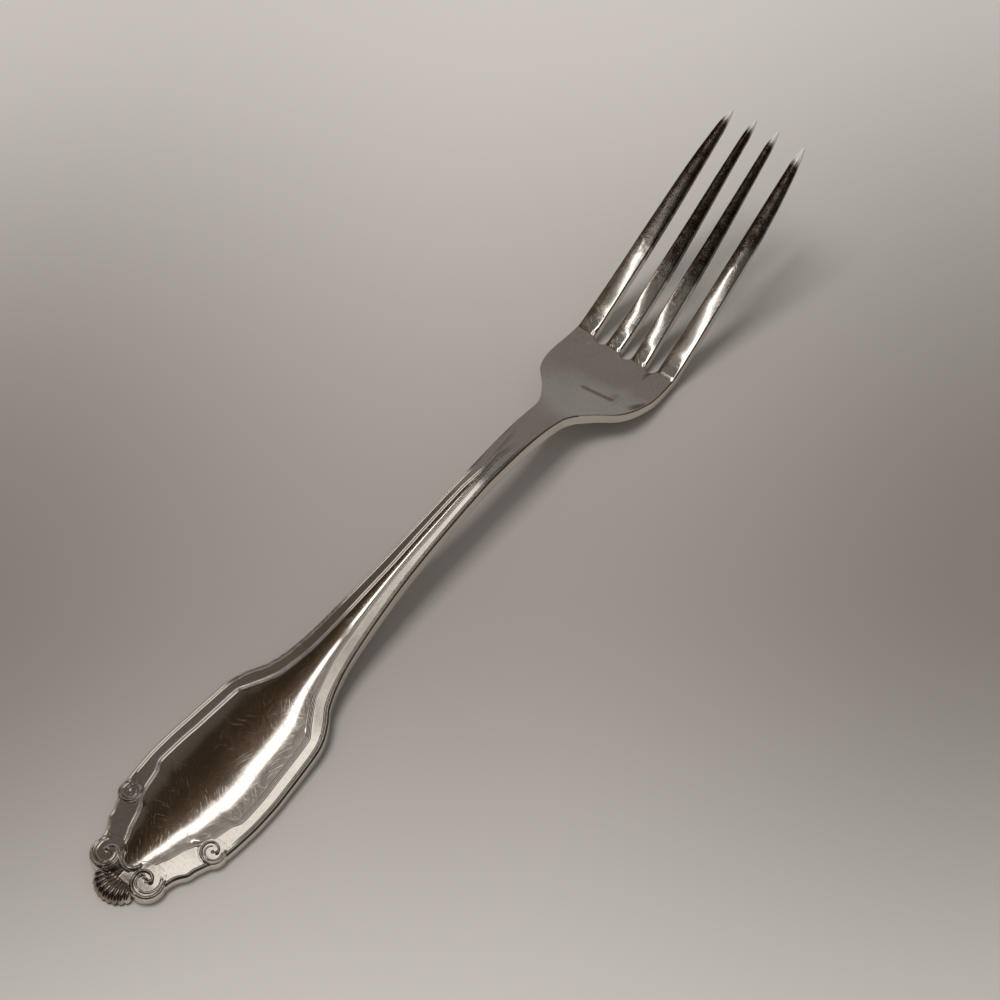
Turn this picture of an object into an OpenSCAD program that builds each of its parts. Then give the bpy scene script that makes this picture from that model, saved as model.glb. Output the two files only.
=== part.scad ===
// Dinner fork with a thread border, four scrolls and a fan shell.
// The real fork is one forging. Each solid here is one named region of it,
// and neighbours meet face to face.
// +X runs from the handle to the tines, +Y is the fork's left and +Z is up.
// Plans and profiles are worked out from the handle's end, then centred.

/* [Overall] */
// Length from the shell to the tips of the outer tines
length = 200; // [170:1:230]
// Greatest width of the handle blade
handle_w = 26.4; // [23:0.2:30]
// Least width of the stem
stem_w = 5.6; // [4.8:0.1:7]
// Greatest width of the head
head_w = 24.6; // [22:0.2:28]
// Height of the underside at the top of the arch
arch_rise = 8.8; // [4:0.2:14]
// Height of the underside at the tips of the outer tines
tip_rise = 27.8; // [15:0.1:35]

/* [Thickness] */
// Edge thickness of the handle blade
handle_t = 2.3; // [1.8:0.1:3.2]
// Thickness of the stem at the arch
stem_t = 3; // [2.4:0.1:4]
// Thickness of the palm
head_t = 2.4; // [1.8:0.1:3]
// Thickness of a tine just short of its tip
tine_tip_t = 1.5; // [1:0.1:2]
// Metal ground off the underside where the fork rests
rest_flat_d = 0.25; // [0.1:0.05:0.5]
// Rounding of the upper and lower edges
edge_r = 0.5; // [0.2:0.05:0.7]

/* [Border] */
// Width of the raised bead along the edge
bead_w = 1.3; // [0.8:0.1:1.8]
// Height of the bead above the channel
bead_h = 0.4; // [0.2:0.05:0.7]
// Width of the inner thread
thread_w = 0.9; // [0.5:0.1:1.2]
// Height of the inner thread above the channel
thread_h = 0.35; // [0.15:0.05:0.6]
// Rise of the smooth panel from its edge to its middle
panel_crown = 0.9; // [0.3:0.1:1.5]

/* [Head] */
// Rise of the palm from its middle to its sides
dish_h = 1.2; // [0.4:0.1:2]
// Width of a slot at its round end
slot_w = 2.8; // [2:0.1:3.6]
// Distance between the middles of two slots at their round ends
slot_pitch = 6.4; // [6:0.1:7.2]
// Distance between the tips of the two inner tines
inner_tip_pitch = 5.4; // [4.6:0.1:6.6]
// Distance from an inner tip to the outer tip beside it
outer_tip_pitch = 6.1; // [5:0.1:6.8]
// Width of a tine just short of its tip
tine_tip_w = 1.4; // [1:0.1:2]
// Fall of a tine's upper face from its middle to its edges
tine_crown = 0.4; // [0.1:0.05:0.6]
// How much higher the tips of the inner tines stand than those of the outer ones
inner_tine_lift = 1.4; // [0:0.1:2]
// How much shorter the inner tines reach than the outer ones
inner_tine_short = 0.5; // [0:0.1:2]

/* [Scrolls and shell] */
// Outer radius of a scroll at the handle's end
end_scroll_r = 3.5; // [3:0.1:4]
// Outer radius of a scroll at the handle's side
side_scroll_r = 2.6; // [2.2:0.1:3.2]
// Width of the bead that winds into an end scroll
scroll_bead_w = 0.9; // [0.6:0.1:1.1]
// Height of that bead above the scroll's floor
scroll_bead_h = 0.5; // [0.2:0.05:0.7]
// Turns of the bead in a scroll
scroll_turns = 1.4; // [1:0.1:1.5]
// Radius of the round eye of an end scroll
scroll_eye_r = 0.6; // [0.4:0.05:0.7]
// Number of ribs on the shell
shell_ribs = 9; // [5:1:13]
// Height of a rib above the furrows beside it
shell_rib_h = 0.5; // [0.2:0.05:0.8]
// Thickness of the shell at its outer rim
shell_rim_t = 1.1; // [0.7:0.1:1.8]
// Radius of the shell's round root beside the panel
shell_root_r = 2.4; // [1.8:0.1:2.8]

/* [Hidden] */

metal = [0.72, 0.70, 0.66];
shade = [0.60, 0.57, 0.52];
handle_half = handle_w / 2;
stem_half = stem_w / 2;
head_half = head_w / 2;
over = head_t;

// Ends of the regions, as shares of the length from the handle's end
blade_from_share = 0.023;
blade_to_share = 0.30;
stem_to_share = 0.56;
neck_to_share = 0.655;
root_share = 0.765;

// How far the outline swells from the stem's width to the handle's
handle_swell_shares = [
    [0.023, 0.40], [0.029, 0.45], [0.038, 0.49], [0.048, 0.53], [0.053, 0.575],
    [0.0575, 0.64], [0.0615, 0.69], [0.067, 0.71], [0.074, 0.765], [0.079, 0.805],
    [0.084, 0.87], [0.090, 0.905], [0.096, 0.935], [0.108, 0.965], [0.121, 0.985],
    [0.134, 1], [0.154, 0.995], [0.180, 0.957], [0.205, 0.913], [0.226, 0.865],
    [0.237, 0.80], [0.250, 0.67], [0.264, 0.49], [0.288, 0.325], [0.312, 0.23],
    [0.358, 0.135], [0.408, 0.065], [0.46, 0.03], [0.53, 0]];
// How far the outline swells from the stem's width to the head's
head_swell_shares = [
    [0.53, 0], [0.587, 0.026], [0.637, 0.07], [0.652, 0.18], [0.668, 0.405],
    [0.689, 0.80], [0.709, 0.947], [0.730, 1], [0.765, 0.98]];
// Place of the inner thread, as a share of the half width there
inner_line_shares = [
    [0.023, 0.04], [0.032, 0.05], [0.0345, 0.20], [0.038, 0.34], [0.0475, 0.425],
    [0.0575, 0.44], [0.0675, 0.50], [0.0775, 0.52], [0.086, 0.545], [0.091, 0.61],
    [0.0985, 0.645], [0.1115, 0.675], [0.1205, 0.70], [0.1295, 0.765],
    [0.1565, 0.758], [0.18, 0.745], [0.205, 0.74], [0.2275, 0.732], [0.233, 0.685],
    [0.2415, 0.625], [0.256, 0.55], [0.2765, 0.507], [0.297, 0.448], [0.3325, 0.394],
    [0.373, 0.338], [0.414, 0.29], [0.46, 0.30], [0.505, 0.276], [0.545, 0.12],
    [0.59, 0.3], [0.68, 0.55], [0.78, 0.55]];
// Rise of the underside over the arch and out along the tines
arch_shares = [
    [0.165, 0], [0.22, 0.07], [0.256, 0.19], [0.30, 0.37], [0.358, 0.61],
    [0.41, 0.77], [0.46, 0.89], [0.535, 1], [0.565, 1], [0.597, 0.95],
    [0.637, 0.755], [0.678, 0.42], [0.70, 0.22], [0.72, 0.07], [0.737, 0]];
tip_shares = [
    [0.744, 0], [0.757, 0.02], [0.775, 0.07], [0.79, 0.124], [0.816, 0.22],
    [0.85, 0.353], [0.882, 0.485], [0.912, 0.622], [0.943, 0.765], [0.972, 0.888],
    [1, 1]];
// How far a tine has narrowed, and moved over, from its root to its tip
outer_narrow_shares = [[0, 0], [0.25, 0.14], [0.5, 0.2], [0.75, 0.44], [0.9, 0.76], [1, 1]];
outer_drift_shares = [[0, 0], [0.25, 0.09], [0.5, 0.22], [0.75, 0.46], [1, 1]];
inner_narrow_shares = [[0, 0], [0.25, 0.16], [0.5, 0.36], [0.75, 0.66], [1, 1]];
inner_drift_shares = [[0, 0], [0.25, 0.6], [0.5, 0.7], [0.75, 0.77], [1, 1]];
// Where the thickness, the dish and the border change, from and to
stem_grow_shares = [0.2, 0.5];
head_grow_shares = [0.6, 0.74];
tine_grow_shares = [0.77, 1];
dish_grow_shares = [0.62, 0.71];
dish_fade_shares = [0.8, 1];
border_fade_shares = [0.49, 0.55];
tine_crown_shares = [0, 0.3];
tine_lift_shares = [0, 1];
// The thread and the bead narrow with the stem, and the crown with the panel
thread_most_share = 0.15;
bead_most_share = 0.28;
panel_most_share = 0.76;
// Profiles across the panel, the bead, a tine and a scroll's bead
panel_shares = [[0, 1], [0.5, 0.75], [0.8, 0.36], [1, 0]];
bead_shares = [[1, 0], [0.55, 1], [0.2, 0]];
tine_top_shares = [[-1, 1], [-0.8, 0.64], [0, 0], [0.8, 0.64], [1, 1]];
tine_low_shares = [[1, 1], [0.7, 0], [-0.7, 0], [-1, 1]];
curl_shares = [[0.5, 0], [0.3, 0.8], [0, 1], [-0.3, 0.8], [-0.5, 0], [0, -0.8]];
curl_end_shares = [0.7, 0.8];
curl_rate_share = 0.85;
curl_rim_share = 0.97;
// A tine's width and thickness draw in from here to its tip
tip_round_share = 0.93;
tip_blunt_share = 0.97;
tip_row_shares = [0.93, 0.955, 0.975, 0.99, 1];

// Centres of the scrolls, along the length and across the half width
end_scroll_shares = [0.0345, 0.356];
side_scroll_shares = [0.0915, 0.758];
end_scroll_at = [length * end_scroll_shares[0], handle_half * end_scroll_shares[1], 0];
side_scroll_at = [length * side_scroll_shares[0], handle_half * side_scroll_shares[1], 0];
end_scroll_start = 60;
side_scroll_start = 75;
// The fan's centre, its half angle and how its rim draws in at the sides
fan_share = 0.045;
fan_x = length * fan_share;
fan_angle = 36;
fan_rim_share = 0.86;
fan_row_shares = [0, 0.3, 0.5, 0.7, 0.84, 0.94, 1];
rib_span_shares = [0.15, 1.3];
pocket_angle = 70;
rib_step_count = 4;
curl_step_count = 26;
curl_side_count = len(curl_shares);
round_fn = 48;

// A value read from a table of pairs, on a curve that never overshoots
function secant(t, i) = (t[i + 1][1] - t[i][1]) / (t[i + 1][0] - t[i][0]);
function lean(a, b) = a * b <= 0 ? 0 : 2 * a * b / (a + b);
function slope(t, i) = i == 0 ? secant(t, 0)
    : i == len(t) - 1 ? secant(t, i - 1)
    : lean(secant(t, i - 1), secant(t, i));
function hermite(t, i, u, h) =
    t[i][1] * (1 + 2 * u) * (1 - u) * (1 - u)
    + t[i + 1][1] * u * u * (3 - 2 * u)
    + h * slope(t, i) * u * (1 - u) * (1 - u)
    - h * slope(t, i + 1) * u * u * (1 - u);
function last_below(t, x) = max([for (i = [0 : len(t) - 2]) if (t[i][0] <= x) i]);
function read_at(t, x) = x <= t[0][0] ? t[0][1]
    : x >= t[len(t) - 1][0] ? t[len(t) - 1][1]
    : let (i = last_below(t, x), h = t[i + 1][0] - t[i][0])
        hermite(t, i, (x - t[i][0]) / h, h);
function mix(a, b, u) = a + (b - a) * u;
function ramp(span, x) =
    let (u = min(1, max(0, (x - span[0]) / (span[1] - span[0])))) u * u * (3 - 2 * u);
function steps(a, b, n) = [for (i = [0 : n]) a + (b - a) * i / n];

// Sizes of the fork at a share s of its length
function half_w(s) = stem_half
    + (handle_half - stem_half) * read_at(handle_swell_shares, s)
    + (head_half - stem_half) * read_at(head_swell_shares, s);
function thick(s) = mix(mix(mix(handle_t, stem_t, ramp(stem_grow_shares, s)),
    head_t, ramp(head_grow_shares, s)), tine_tip_t, ramp(tine_grow_shares, s));
function under(s) = arch_rise * read_at(arch_shares, s)
    + tip_rise * read_at(tip_shares, s) - rest_flat_d;
function dish(s, y) = dish_h * ramp(dish_grow_shares, s)
    * (1 - ramp(dish_fade_shares, s)) * (y / head_half) ^ 2;
function relief(s) = 1 - ramp(border_fade_shares, s);

// Half a section from the middle of the top, round the edge, to the bottom
function half_section(s) =
    let (w = half_w(s), t = thick(s), r = relief(s),
        line = w * read_at(inner_line_shares, s),
        thread = min(thread_w / 2, w * thread_most_share, line / 2),
        bead = min(bead_w, w * bead_most_share),
        side = line - thread,
        crown = r * panel_crown * line / (handle_half * panel_most_share),
        top = concat(
            [for (p = panel_shares) [side * p[0], crown * p[1]]],
            [[line, r * thread_h], [line + thread, 0]],
            [for (p = bead_shares) [w - bead * p[0], r * bead_h * p[1]]],
            [[w, -edge_r]]),
        low = [[w, edge_r], [w - bead, 0], [line + thread, 0], [0, 0]])
    concat([for (p = top) [p[0], under(s) + t + dish(s, p[0]) + p[1]]],
        [for (p = low) [p[0], under(s) + dish(s, p[0]) + p[1]]]);
section_last = len(half_section(0)) - 1;
ring_count = 2 * section_last;

// A whole ring: down the left side and back up the right
function ring(s) = let (h = half_section(s))
    concat([for (p = h) [s * length, p[0], p[1]]],
        [for (i = [section_last - 1 : -1 : 1]) [s * length, -h[i][0], h[i][1]]]);
function skin(rings, n) = [for (k = [0 : rings - 2], i = [0 : n - 1],
    f = [[k * n + i, k * n + (i + 1) % n, (k + 1) * n + (i + 1) % n],
         [k * n + i, (k + 1) * n + (i + 1) % n, (k + 1) * n + i]]) f];
function flip(faces) = [for (f = faces) [f[2], f[1], f[0]]];
function shift(faces, base) = [for (f = faces) [for (i = f) base + i]];

// A section's triangles, which stay inside it under its raised lines
cap_half = [[13, 0, 1], [13, 1, 2], [13, 2, 3], [13, 3, 4], [13, 4, 5], [13, 5, 12],
    [12, 5, 6], [12, 6, 11], [11, 6, 7], [11, 7, 8], [11, 8, 9], [11, 9, 10]];
function other(i) = i == 0 || i == section_last ? i : ring_count - i;
cap = concat(cap_half, [for (f = flip(cap_half)) [for (i = f) other(i)]]);

module loft(shares) {
    n = len(shares);
    polyhedron(
        points = [for (s = shares) each ring(s)],
        faces = concat(skin(n, ring_count), flip(cap), shift(cap, (n - 1) * ring_count)),
        convexity = 6);
}

// Every solid is centred on the fork's length here
module place() {
    translate([-length / 2, 0, 0]) children();
}

// Everything below the surface that the fork rests on
module ground_cut() {
    translate([-over, -handle_w, -over]) cube([length + 2 * over, 2 * handle_w, over]);
}

module on_both_sides() {
    children();
    mirror([0, 1, 0]) children();
}

module boss_cut(at, r) {
    translate(at) translate([0, 0, -over]) cylinder(r = r, h = handle_t + 2 * over, $fn = round_fn);
}

// A sector in front of the panel that the shell's root and the scrolls fill
module shell_pocket() {
    reach = fan_x + over;
    arc = steps(-pocket_angle, pocket_angle, 2 * shell_ribs);
    translate([fan_x, 0, -over]) linear_extrude(handle_t + 2 * over)
        polygon(concat([for (a = arc) shell_root_r * [-cos(a), sin(a)]],
            [for (i = [len(arc) - 1 : -1 : 0]) reach * [-cos(arc[i]), sin(arc[i])]]));
}

module handle_blade() {
    border_share = 0.14;
    color(metal) place() difference() {
        loft(concat(steps(blade_from_share, border_share, 24),
            [for (i = [1 : 18]) mix(border_share, blade_to_share, i / 18)]));
        ground_cut();
        shell_pocket();
        on_both_sides() boss_cut(end_scroll_at, end_scroll_r);
        on_both_sides() boss_cut(side_scroll_at, side_scroll_r);
    }
}

module stem() {
    color(metal) place() loft(steps(blade_to_share, stem_to_share, 16));
}

module neck() {
    color(metal) place() loft(steps(stem_to_share, neck_to_share, 9));
}

module palm() {
    color(metal) place() difference() {
        loft(steps(neck_to_share, root_share, 16));
        ground_cut();
        for (y = [-slot_pitch, 0, slot_pitch])
            translate([root_share * length, y, -over])
                cylinder(d = slot_w, h = 3 * over + dish_h, $fn = round_fn);
    }
}

// A tine from the palm's end to its tip: its place and width at a share u of it
function tip_y(outer) = inner_tip_pitch / 2 + (outer ? outer_tip_pitch : 0);
function tip_s(outer) = 1 - (outer ? 0 : inner_tine_short / length);
function tine_inside(outer) = (outer ? slot_pitch : 0) + slot_w / 2;
function tine_outside(outer) = outer ? half_w(root_share) : slot_pitch - slot_w / 2;
function narrow(outer, u) = read_at(outer ? outer_narrow_shares : inner_narrow_shares, u);
function drift(outer, u) = read_at(outer ? outer_drift_shares : inner_drift_shares, u);
function tip_draw(u) = u <= tip_round_share ? 1
    : sqrt(1 - (tip_blunt_share * (u - tip_round_share) / (1 - tip_round_share)) ^ 2);
function tine_ring(outer, u) =
    let (s = mix(root_share, tip_s(outer), u), draw = tip_draw(u), t = thick(s),
        mid = mix((tine_inside(outer) + tine_outside(outer)) / 2, tip_y(outer), drift(outer, u)),
        half = draw * mix(tine_outside(outer) - tine_inside(outer), tine_tip_w,
            narrow(outer, u)) / 2,
        crown = draw * tine_crown * ramp(tine_crown_shares, u),
        lift = outer ? 0 : inner_tine_lift * ramp(tine_lift_shares, u),
        base = under(s) + lift + t * (1 - draw) / 3,
        top = under(s) + lift + t - t * (1 - draw) / 3)
    concat([for (p = tine_top_shares) let (y = mid + p[0] * half)
            [s * length, y, top + dish(s, y) - crown * p[1] - (p[1] == 1 ? draw * edge_r : 0)]],
        [for (p = tine_low_shares) let (y = mid + p[0] * half)
            [s * length, y, base + dish(s, y) + draw * edge_r * p[1]]]);
tine_ring_count = len(tine_top_shares) + len(tine_low_shares);
tine_cap = [[0, 1, 7], [1, 2, 7], [7, 2, 6], [2, 3, 6], [3, 4, 5], [3, 5, 6], [0, 7, 8]];

module tine(outer) {
    us = concat(steps(0, 0.9, 14), tip_row_shares);
    n = len(us);
    polyhedron(
        points = [for (u = us) each tine_ring(outer, u)],
        faces = concat(skin(n, tine_ring_count), flip(tine_cap),
            shift(tine_cap, (n - 1) * tine_ring_count)),
        convexity = 4);
}

module tine_outer_left() {
    color(metal) place() tine(true);
}

module tine_inner_left() {
    color(metal) place() tine(false);
}

module tine_inner_right() {
    color(metal) place() mirror([0, 1, 0]) tine(false);
}

module tine_outer_right() {
    color(metal) place() mirror([0, 1, 0]) tine(true);
}

// The shell: rows run from its root to its rim and columns across its ribs
function fan_rim(a) = fan_x * mix(1, fan_rim_share, (a / fan_angle) ^ 2);
function fan_point(a, v, z) = let (r = mix(shell_root_r, fan_rim(a), v))
    [fan_x - r * cos(a), r * sin(a), z];
function rib_wave(a) = abs(cos(a / fan_angle * 90 * shell_ribs));
function fan_top(a, v) = mix(handle_t, shell_rim_t, v ^ 3)
    + shell_rib_h * rib_wave(a) * sin(180 * (v + rib_span_shares[0]) / rib_span_shares[1]);

module fan() {
    angles = steps(-fan_angle, fan_angle, shell_ribs * rib_step_count);
    rows = len(fan_row_shares);
    n = len(angles);
    low = rows * n;
    last = (rows - 1) * n;
    tops = [for (v = fan_row_shares, a = angles) fan_point(a, v, fan_top(a, v))];
    lows = [for (v = [0, 1], a = angles) fan_point(a, v, 0)];
    sheet = [for (k = [0 : rows - 2], i = [0 : n - 2],
        f = [[k * n + i, (k + 1) * n + i, (k + 1) * n + i + 1],
             [k * n + i, (k + 1) * n + i + 1, k * n + i + 1]]) f];
    sole = [for (i = [0 : n - 2],
        f = [[low + i, low + i + 1, low + n + i + 1],
             [low + i, low + n + i + 1, low + n + i]]) f];
    root_wall = [for (i = [0 : n - 2],
        f = [[i, i + 1, low + i + 1], [i, low + i + 1, low + i]]) f];
    rim_wall = [for (i = [0 : n - 2],
        f = [[last + i, low + n + i, low + n + i + 1],
             [last + i, low + n + i + 1, last + i + 1]]) f];
    right_wall = concat([for (k = [0 : rows - 2]) [k * n, low, (k + 1) * n]],
        [[last, low, low + n]]);
    left_wall = concat(
        [for (k = [0 : rows - 2]) [k * n + n - 1, (k + 1) * n + n - 1, low + n - 1]],
        [[last + n - 1, low + 2 * n - 1, low + n - 1]]);
    polyhedron(
        points = concat(tops, lows),
        faces = concat(sheet, sole, root_wall, rim_wall, right_wall, left_wall),
        convexity = 6);
}

module end_shell() {
    color(shade) place() difference() {
        fan();
        on_both_sides() boss_cut(end_scroll_at, end_scroll_r);
    }
}

// A scroll: a round boss, a bead that winds in on its face, and an eye
module scroll(at, r, start) {
    fit = r / end_scroll_r;
    width = scroll_bead_w * fit;
    eye = scroll_eye_r * fit;
    outer = r * curl_rim_share - width / 2;
    inner = eye + width / 2;
    points = [for (k = [0 : curl_step_count], p = curl_shares)
        let (u = k / curl_step_count, a = start + 360 * scroll_turns * u,
            d = mix(outer, inner, u ^ curl_rate_share)
                + p[0] * width * mix(1, curl_end_shares[0], u))
        [d * cos(a), d * sin(a),
            handle_t + p[1] * scroll_bead_h * mix(1, curl_end_shares[1], u)]];
    fans = [for (i = [1 : curl_side_count - 2]) [0, i, i + 1]];
    translate(at) {
        cylinder(r = r, h = handle_t, $fn = round_fn);
        translate([0, 0, handle_t]) sphere(r = eye, $fn = round_fn / 2);
        polyhedron(
            points = points,
            faces = concat(skin(curl_step_count + 1, curl_side_count), flip(fans),
                shift(fans, curl_step_count * curl_side_count)),
            convexity = 6);
    }
}

module end_scroll_left() {
    color(shade) place() scroll(end_scroll_at, end_scroll_r, end_scroll_start);
}

module end_scroll_right() {
    color(shade) place() mirror([0, 1, 0])
        scroll(end_scroll_at, end_scroll_r, end_scroll_start);
}

module side_scroll_left() {
    color(shade) place() scroll(side_scroll_at, side_scroll_r, side_scroll_start);
}

module side_scroll_right() {
    color(shade) place() mirror([0, 1, 0])
        scroll(side_scroll_at, side_scroll_r, side_scroll_start);
}

handle_blade();
stem();
neck();
palm();
tine_outer_left();
tine_inner_left();
tine_inner_right();
tine_outer_right();
end_shell();
end_scroll_left();
end_scroll_right();
side_scroll_left();
side_scroll_right();
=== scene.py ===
"""Dinner fork in polished metal, laid on a pale table with its tines pointing away.

The fork is one forging, shown as thirteen named regions that meet face to face.
Every surface is worked out with numpy as a height over a place along the fork and
a place across it, in millimetres from the handle's end, and then moved into the
shared frame in metres.
"""

import logging
import math
from collections.abc import Callable
from dataclasses import dataclass, field
from enum import Enum

import bpy
import numpy as np
from mathutils import Matrix, Vector


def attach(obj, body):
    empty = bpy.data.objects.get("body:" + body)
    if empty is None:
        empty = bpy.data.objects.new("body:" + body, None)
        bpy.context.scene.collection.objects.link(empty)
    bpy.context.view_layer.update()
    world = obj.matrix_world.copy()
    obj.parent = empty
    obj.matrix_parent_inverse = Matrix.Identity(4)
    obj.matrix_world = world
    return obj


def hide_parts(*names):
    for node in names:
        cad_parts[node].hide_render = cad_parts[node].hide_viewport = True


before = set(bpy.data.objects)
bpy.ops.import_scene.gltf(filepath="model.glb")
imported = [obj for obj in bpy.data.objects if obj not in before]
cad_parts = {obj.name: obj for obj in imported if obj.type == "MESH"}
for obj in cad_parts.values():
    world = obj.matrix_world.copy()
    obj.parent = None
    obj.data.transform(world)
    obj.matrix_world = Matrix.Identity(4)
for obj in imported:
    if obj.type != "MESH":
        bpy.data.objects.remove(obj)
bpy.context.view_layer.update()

LOG = logging.getLogger("dinner_fork")
BODY = "root"
MM = 0.001
# Where the frame's origin lies, in millimetres from the handle's end.
ORIGIN = (100.0, 0.0, 0.0)
# Corners that agree to a ten-thousandth of a millimetre are welded.
WELD = 1.0e4
WELD_BITS = 20
# How round the crest of a fine ridge is, as a share of its half width.
CREST = 0.25
# Distance beyond the ends of a long piece of its spare rows, which serve its normals.
SPARE = 0.05
# Least thickness of a tine's point.
LEAST_T = 0.01
# How far blue falls in a warm grey for each step that red rises.
COOL = 0.8


def ramp(low: float, high: float, x: np.ndarray) -> np.ndarray:
    """Smooth step from 0 at low to 1 at high: u * u * (3 - 2 * u)."""
    u = np.clip((x - low) / (high - low), 0.0, 1.0)
    return u * u * (3.0 - 2.0 * u)


def mix(a: np.ndarray, b: np.ndarray, u: np.ndarray) -> np.ndarray:
    """The value a share u of the way from a to b."""
    return a + (b - a) * u


def bump(d: np.ndarray, half: np.ndarray) -> np.ndarray:
    """Rounded ridge: half a cosine wave, 1 where d is 0 and 0 from half outwards."""
    return 0.5 + 0.5 * np.cos(np.pi * np.clip(np.abs(d) / half, 0.0, 1.0))


def peak(d: np.ndarray, half: np.ndarray) -> np.ndarray:
    """Ridge with straight flanks and a rounded crest.

    With t = |d| / half it is (hypot(1, c) - hypot(t, c)) / (hypot(1, c) - c), where c
    rounds the crest.

    Args:
        d: Distance from the ridge's middle line.
        half: Half width of the ridge.

    Returns:
        Heights from 1 on the middle line to 0 from half outwards.
    """
    t = np.clip(np.abs(d) / half, 0.0, 1.0)
    top = np.hypot(1.0, CREST)
    return (top - np.hypot(t, CREST)) / (top - CREST)


def round_edge(d: np.ndarray, radius: np.ndarray) -> np.ndarray:
    """Fall of a rounded edge at a distance d inside it: r - sqrt(r^2 - (r - d)^2)."""
    inside = radius - np.clip(d, 0.0, radius)
    return radius - np.sqrt(np.maximum(radius**2 - inside**2, 0.0))


def coined(d: np.ndarray, width: np.ndarray, height: np.ndarray,
           radius: np.ndarray) -> np.ndarray:
    """Fall of an upper face beside a slot.

    A wide soft slope, height * (1 - d / width)^2, ends in a small round edge.

    Args:
        d: Distance inside the slot's edge.
        width: Width of the soft slope.
        height: How far the slope falls.
        radius: Radius of the round edge.

    Returns:
        How far the face has fallen at d.
    """
    soft = height * (1 - np.clip(d / width, 0, 1)) ** 2
    return soft + round_edge(d, radius)


def quarter(places: int) -> np.ndarray:
    """Evenly spaced angles of a quarter turn."""
    return np.linspace(0, np.pi / 2, places)


def half_turn(places: int) -> np.ndarray:
    """Evenly spaced angles of half a turn, about 0."""
    return np.linspace(-np.pi / 2, np.pi / 2, places)


def both_sides(half: np.ndarray, sign: float = -1.0) -> np.ndarray:
    """Rows from the left edge to the right from their left halves, middle first."""
    return np.concatenate([half[:, ::-1], sign * half[:, 1:]], 1)


def stack(x: np.ndarray, y: np.ndarray, z: np.ndarray) -> np.ndarray:
    """Points from three arrays that broadcast together."""
    return np.stack(np.broadcast_arrays(x, y, z), -1)


def placed(name: str, data: bpy.types.ID) -> bpy.types.Object:
    """Puts a new object into the scene.

    Args:
        name: Name of the object.
        data: Its mesh, camera or lamp.

    Returns:
        The object.
    """
    thing = bpy.data.objects.new(name, data)
    bpy.context.scene.collection.objects.link(thing)
    return thing


@dataclass(frozen=True)
class Curve:
    """A line through pairs of numbers that never overshoots, softened on request.

    Attributes:
        pairs: Places and values, in rising order of place.
        soften: Width of the bell curve that the line is averaged with.
    """

    pairs: tuple
    soften: float = 0.0

    def _through(self, x: np.ndarray) -> np.ndarray:
        """Cubic between pairs, whose slope at a pair is the harmonic mean of both sides.

        Args:
            x: Places; beyond the first and last pair the line is level.

        Returns:
            The line's value at each place.
        """
        t = np.array(self.pairs)
        rise = np.diff(t[:, 1]) / np.diff(t[:, 0])
        before, after = rise[:-1], rise[1:]
        same = before * after > 0
        mean = 2 * before * after / np.where(same, before + after, 1.0)
        lean = np.concatenate([rise[:1], np.where(same, mean, 0.0), rise[-1:]])
        x = np.clip(x, t[0, 0], t[-1, 0])
        i = np.clip(np.searchsorted(t[:, 0], x, side="right") - 1, 0, len(t) - 2)
        step = t[i + 1, 0] - t[i, 0]
        u = (x - t[i, 0]) / step
        flat = t[i, 1] * (1 + 2 * u) * (1 - u) ** 2 + t[i + 1, 1] * u * u * (3 - 2 * u)
        return flat + step * u * (1 - u) * (lean[i] * (1 - u) - lean[i + 1] * u)

    def at(self, x: np.ndarray) -> np.ndarray:
        """The line, averaged under a bell curve over nine places out to twice its width.

        Args:
            x: Places.

        Returns:
            The softened value at each place.
        """
        if not self.soften:
            return self._through(x)
        places = np.linspace(-2.0, 2.0, 9)
        weights = np.exp(-(places**2) / 2)
        weights /= weights.sum()
        return sum(w * self._through(x + p * self.soften) for p, w in zip(places, weights))


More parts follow.
